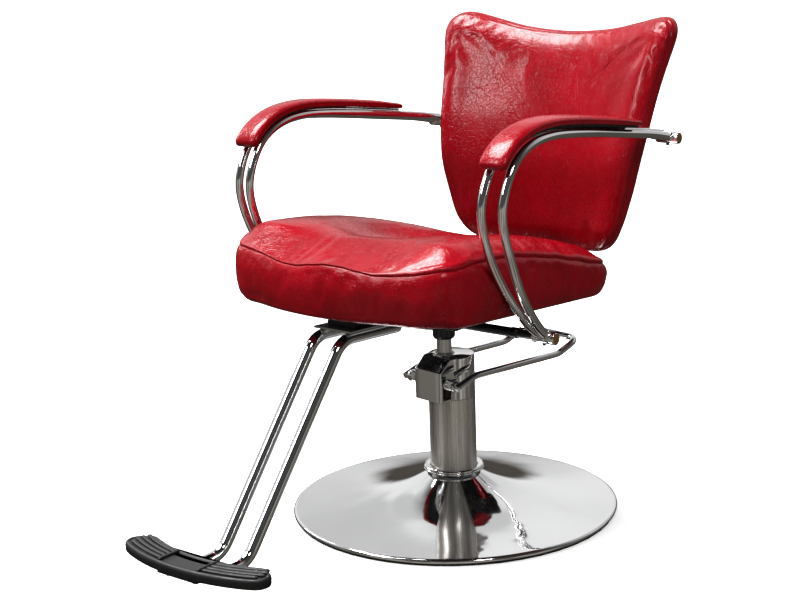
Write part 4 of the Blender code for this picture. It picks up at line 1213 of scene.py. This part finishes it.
# ---------------------------------------------------------------- footrest
def foot_depth(x, from_front, from_rear, share):
    """Depth (y) between the plate's front and rear arcs, each moved in, at a distance from the middle."""
    front = FOOT_FRONT_Y + FOOT_FRONT_RADIUS - math.sqrt(FOOT_FRONT_RADIUS * FOOT_FRONT_RADIUS - x * x)
    rear = FOOT_REAR_Y + FOOT_REAR_RADIUS - math.sqrt(FOOT_REAR_RADIUS * FOOT_REAR_RADIUS - x * x)
    return mix(front + from_front, rear - from_rear, share)


def foot_outline():
    """Crescent plan: front arc, rounded tip, rear arc, and the same mirrored."""
    def arc(radius, y, degrees):
        angles = (math.radians(degrees * step / 24) for step in range(25))
        return [Vector((radius * math.sin(a), y + radius * (1 - math.cos(a)), 0)) for a in angles]

    half = arc(FOOT_FRONT_RADIUS, FOOT_FRONT_Y, 20.5)
    tip = half[-1] + Vector((0.0005, 0.0270, 0))
    for step in range(1, 12):
        angle = math.radians(-60 + 150 * step / 12)
        half.append(tip + Vector((0.0270 * math.cos(angle), 0.0250 * math.sin(angle), 0)))
    half += reversed(arc(FOOT_REAR_RADIUS, FOOT_REAR_Y, 24.5))
    other = [Vector((-p.x, p.y, 0)) for p in reversed(half[1:-1])]
    return relaxed(evenly(half + other, 260, closed=True), 8, closed=True)


def make_foot_plate():
    outline = foot_outline()
    normals = [normal.to_3d() for normal in out_of(outline)]

    def ring(inset, height):
        return [p - n * inset + Vector((0, 0, height)) for p, n in zip(outline, normals)]

    low, top = FOOT_PLATE_Z, FOOT_PLATE_TOP
    rings = [ring(inset, low + rise) for inset, rise in
             ((0.006, 0.0), (0.0025, 0.0002), (0.0008, 0.0012), (0.0, 0.0035), (0.0, 0.0085),
              (-0.0004, 0.0110), (0.0, 0.0135))]
    rings += [ring(inset, top + rise) for inset, rise in
              ((0.0010, -0.0016), (0.0026, -0.0002), (0.0046, 0.0002), (0.0062, -0.0006), (0.0072, -0.0018),
               (0.0085, -0.0020), (0.018, -0.0020))]
    piece("foot_plate_body", loft(rings), "plastic", "swivel", CHAIR, ["foot_plate"])

    parts = []
    for side in (-1, 1):
        for index in range(4):
            share = (index + 0.5) / 4
            reach = 0.1450 - 0.0035 * abs(index - 1.2) ** 1.5
            xs = [mix(0.0475, reach, step / 39) for step in range(40)]
            path = [(x, foot_depth(x, 0.0095, 0.0070, share)) for x in xs]
            parts.append(rib(side, path, 0.0040, top - 0.0024, top + 0.0022))
        straight = [(0.0435, foot_depth(0.0435, 0.0060, 0.0040, step / 11)) for step in range(12)]
        parts.append(rib(side, straight, 0.0030, top - 0.0024, top + 0.0026))
    piece("foot_plate_ribs", merged(parts), "plastic", "swivel", CHAIR)
    tongue = rounded_block((-0.0450, -0.7010, low - 0.0042), (0.0450, -0.6530, low - 0.0002), 0.0012)
    piece("foot_plate_bracket", tongue, "paint", "swivel", CHAIR, ["foot_plate_tongue"])
    for side, name in SIDES:
        profile = [(radius, low - drop) for radius, drop in
                   ((0.0, 0.0089), (0.0018, 0.0089), (0.0018, 0.0072), (0.0019, 0.0072), (0.0019, 0.0089),
                    (0.0038, 0.0089), (0.0056, 0.0066), (0.0056, 0.0045), (0.0, 0.0045))]
        piece("tread_screw_" + name, lathe(profile, 40, 0.0003), "paint", "swivel",
              CHAIR @ Matrix.Translation((side * FOOT_TUBE_X, -0.6900, 0)), ["foot_plate_screw_" + name])


def rib(side, path, half, low, high):
    """Raised rounded strip along an (x, y) path, mirrored by side, with its ends tapered."""
    rings = []
    count = len(path)
    for index, (x, y) in enumerate(path):
        before, after = path[max(index - 1, 0)], path[min(index + 1, count - 1)]
        along = Vector((after[0] - before[0], after[1] - before[1], 0)).normalized()
        across = Vector((-along.y, along.x, 0))
        end = min(index, count - 1 - index)
        tight = math.sqrt(1 - (1 - min((end + 0.35) / 2.2, 1.0)) ** 2)
        ring = []
        for step in range(13):
            angle = math.pi * step / 12
            width = half * math.copysign(abs(math.cos(angle)) ** 0.55, math.cos(angle))
            width *= mix(0.55, 1.0, tight)
            rise = (high - low) * math.sin(angle) ** 0.6 * mix(0.5, 1.0, tight)
            point = Vector((x, y, low)) + across * width + Vector((0, 0, rise))
            ring.append(Vector((point.x * side, point.y, point.z)))
        rings.append(ring)
    return loft(rings)


def make_footrest():
    for side, name in SIDES:
        corners = [(side * FOOT_TUBE_X, y, z) for y, z in
                   ((-0.1700, 0.3960), (-0.3190, 0.4040), (-0.5720, 0.0880), (-0.6520, 0.0880))]
        path = relaxed(evenly(filleted(corners, 0.048, 16), 220), 6)
        piece("chrome_footrest_tube_" + name, sweep(path, FOOT_TUBE_RADIUS, 36), "chrome", "swivel", CHAIR,
              ["footrest_tube_" + name])
    route = [Vector((0, -0.3080, 0.4158)), Vector((0, -0.2400, 0.4122)), Vector((0, -0.1800, 0.4090))]
    section = [(-0.0420, -0.0009), (-0.0417, -0.0012), (0.0417, -0.0012), (0.0420, -0.0009),
               (0.0420, 0.0021), (0.0417, 0.0024), (-0.0417, 0.0024), (-0.0420, 0.0021)]
    bridge = loft(swept_sections(route, 0.0, lambda share: section, 0.0))
    piece("chrome_footrest_bridge", bridge, "chrome", "swivel", CHAIR, ["footrest_bridge"])
    make_foot_plate()


# ---------------------------------------------------------------- stage, light and camera
def make_floor():
    bpy.ops.mesh.primitive_circle_add(vertices=96, radius=FLOOR_RADIUS, fill_type="NGON",
                                      location=(0, 0, -0.0002))
    floor = bpy.context.object
    floor.name = "floor"
    floor.visible_glossy = False
    floor.visible_diffuse = False
    g = Graph("studio_floor", (0.90, 0.90, 0.90), 0.65)
    g.colour(g.blend(g.noise(3.0, 3.0), (0.885, 0.885, 0.888), (0.905, 0.905, 0.905)))
    g.bump(g.noise(240.0, 2.0), 0.03, 0.001)
    floor.data.materials.append(g.material)

    wash = linked("floor_wash", bpy.data.lights.new("floor_wash", "SUN"))
    wash.data.energy = 1.25
    wash.data.use_shadow = False
    lit = bpy.data.collections.new("floor_only")
    lit.objects.link(floor)
    wash.light_linking.receiver_collection = lit


def make_world():
    """Pale studio: white wall behind the chair, dimmer in front of it, warm grey below the horizon."""
    world = bpy.data.worlds.new("studio")
    bpy.context.scene.world = world
    world.use_nodes = True
    world.cycles.sampling_method = "NONE"
    g = Nodes(world.node_tree)
    coords = g.add("ShaderNodeTexCoord").outputs["Generated"]
    split = g.add("ShaderNodeSeparateXYZ")
    g.link(coords, split.inputs[0])
    x, y, z = split.outputs
    behind = g.maths("ADD", g.maths("MULTIPLY", x, -0.62), g.maths("MULTIPLY", y, 0.78))
    aside = g.maths("ADD", g.maths("MULTIPLY", x, 0.78), g.maths("MULTIPLY", y, 0.62))
    clouds = g.add("ShaderNodeTexNoise")
    clouds.inputs["Scale"].default_value = 3.4
    clouds.inputs["Detail"].default_value = 2.0
    g.link(g.scaled(coords, (1.0, 1.0, 0.45)), clouds.inputs["Vector"])
    patchy = g.ranged(clouds.outputs["Fac"], 0.38, 0.62, 0.0, 1.0)
    wall = g.maths("MULTIPLY", g.ranged(behind, -0.25, 0.35, WALL_FRONT, WALL_REAR),
                   g.ranged(patchy, 0.0, 1.0, 0.76, 1.08))
    wall = g.maths("MULTIPLY", wall, g.ranged(aside, 0.05, 0.75, 1.0, 0.66))
    ceiling = g.ranged(z, 0.66, 0.84, 1.0, 0.0)
    upper = g.maths("ADD", g.maths("MULTIPLY", wall, ceiling), CEILING)
    ground = g.blend(g.ranged(behind, -0.7, 0.5, 0.0, 1.0), g.blend(patchy, GROUND_DARK, GROUND_FRONT),
                     GROUND_REAR)
    lifted = g.blend(g.ranged(z, 0.04, 0.18, 0.0, 1.0), ground, upper)
    paths = g.add("ShaderNodeLightPath")
    sky = g.blend(g.ranged(z, -0.25, 0.25, 0.0, 1.0), AMBIENT_LOW, AMBIENT_HIGH)
    soft = g.blend(paths.outputs["Is Glossy Ray"], sky, lifted)
    background = g.tree.nodes["Background"]
    g.link(g.blend(paths.outputs["Is Camera Ray"], soft, (1.0, 1.0, 1.0)), background.inputs[0])
    background.inputs[1].default_value = 1.0


def direction(azimuth, elevation):
    """Unit vector towards a compass azimuth (0 in front of the chair, + to its left side) and elevation."""
    azimuth, elevation = math.radians(azimuth), math.radians(elevation)
    return Vector((math.sin(azimuth) * math.cos(elevation), -math.cos(azimuth) * math.cos(elevation),
                   math.sin(elevation)))


def add_softbox(name, azimuth, elevation, size, radiance, target):
    """Rectangular light of a given brightness, facing its target."""
    light = bpy.data.lights.new(name, "AREA")
    light.shape = "RECTANGLE"
    light.size, light.size_y = size
    light.energy = radiance * math.pi * size[0] * size[1]
    away = direction(azimuth, elevation)
    obj = linked(name, light)
    obj.location = Vector(target) + away * SOFTBOX_DISTANCE
    obj.rotation_euler = (-away).to_track_quat("-Z", "Y").to_euler()


def make_lights():
    add_softbox("front_box", -21, 31, (0.80, 0.90), 11.0, (0, 0.30, 0.75))
    add_softbox("left_strip", -84, 20, (0.30, 1.5), 7.0, (0, 0.30, 0.75))
    add_softbox("right_box", 60, 43, (0.55, 0.55), 14.0, (0, 0, 0.60))
    sun = linked("ceiling_light", bpy.data.lights.new("ceiling_light", "SUN"))
    sun.data.energy = 4.6
    sun.data.angle = math.radians(30)
    sun.rotation_euler = (-direction(-85, 66)).to_track_quat("-Z", "Y").to_euler()


def make_camera():
    """Camera at the standing viewer's place, looking slightly down, with a trace of roll."""
    camera = bpy.data.cameras.new("camera")
    camera.sensor_width = 36.0
    camera.lens = CAMERA_LENS
    obj = linked("camera", camera)
    aim = (Matrix.Rotation(CAMERA_HEADING, 4, "Z") @ Matrix.Rotation(math.pi / 2 - CAMERA_TILT, 4, "X")
           @ Matrix.Rotation(-CAMERA_ROLL, 4, "Z"))
    obj.matrix_world = Matrix.Translation(CAMERA_PLACE) @ aim
    bpy.context.scene.camera = obj


finish_cad_nodes()
make_base()
make_head_cover()
make_pedal()
make_ram()
make_lower_bar()
make_upper_bar()
make_arms()
for arm_side, arm_name in SIDES:
    make_pad(arm_side, arm_name)
make_seat()
make_back()
make_footrest()
make_floor()
make_world()
make_lights()
make_camera()
bpy.context.scene.view_settings.view_transform = "Standard"
bpy.context.scene.view_settings.look = "Medium High Contrast"

bpy.context.view_layer.update()
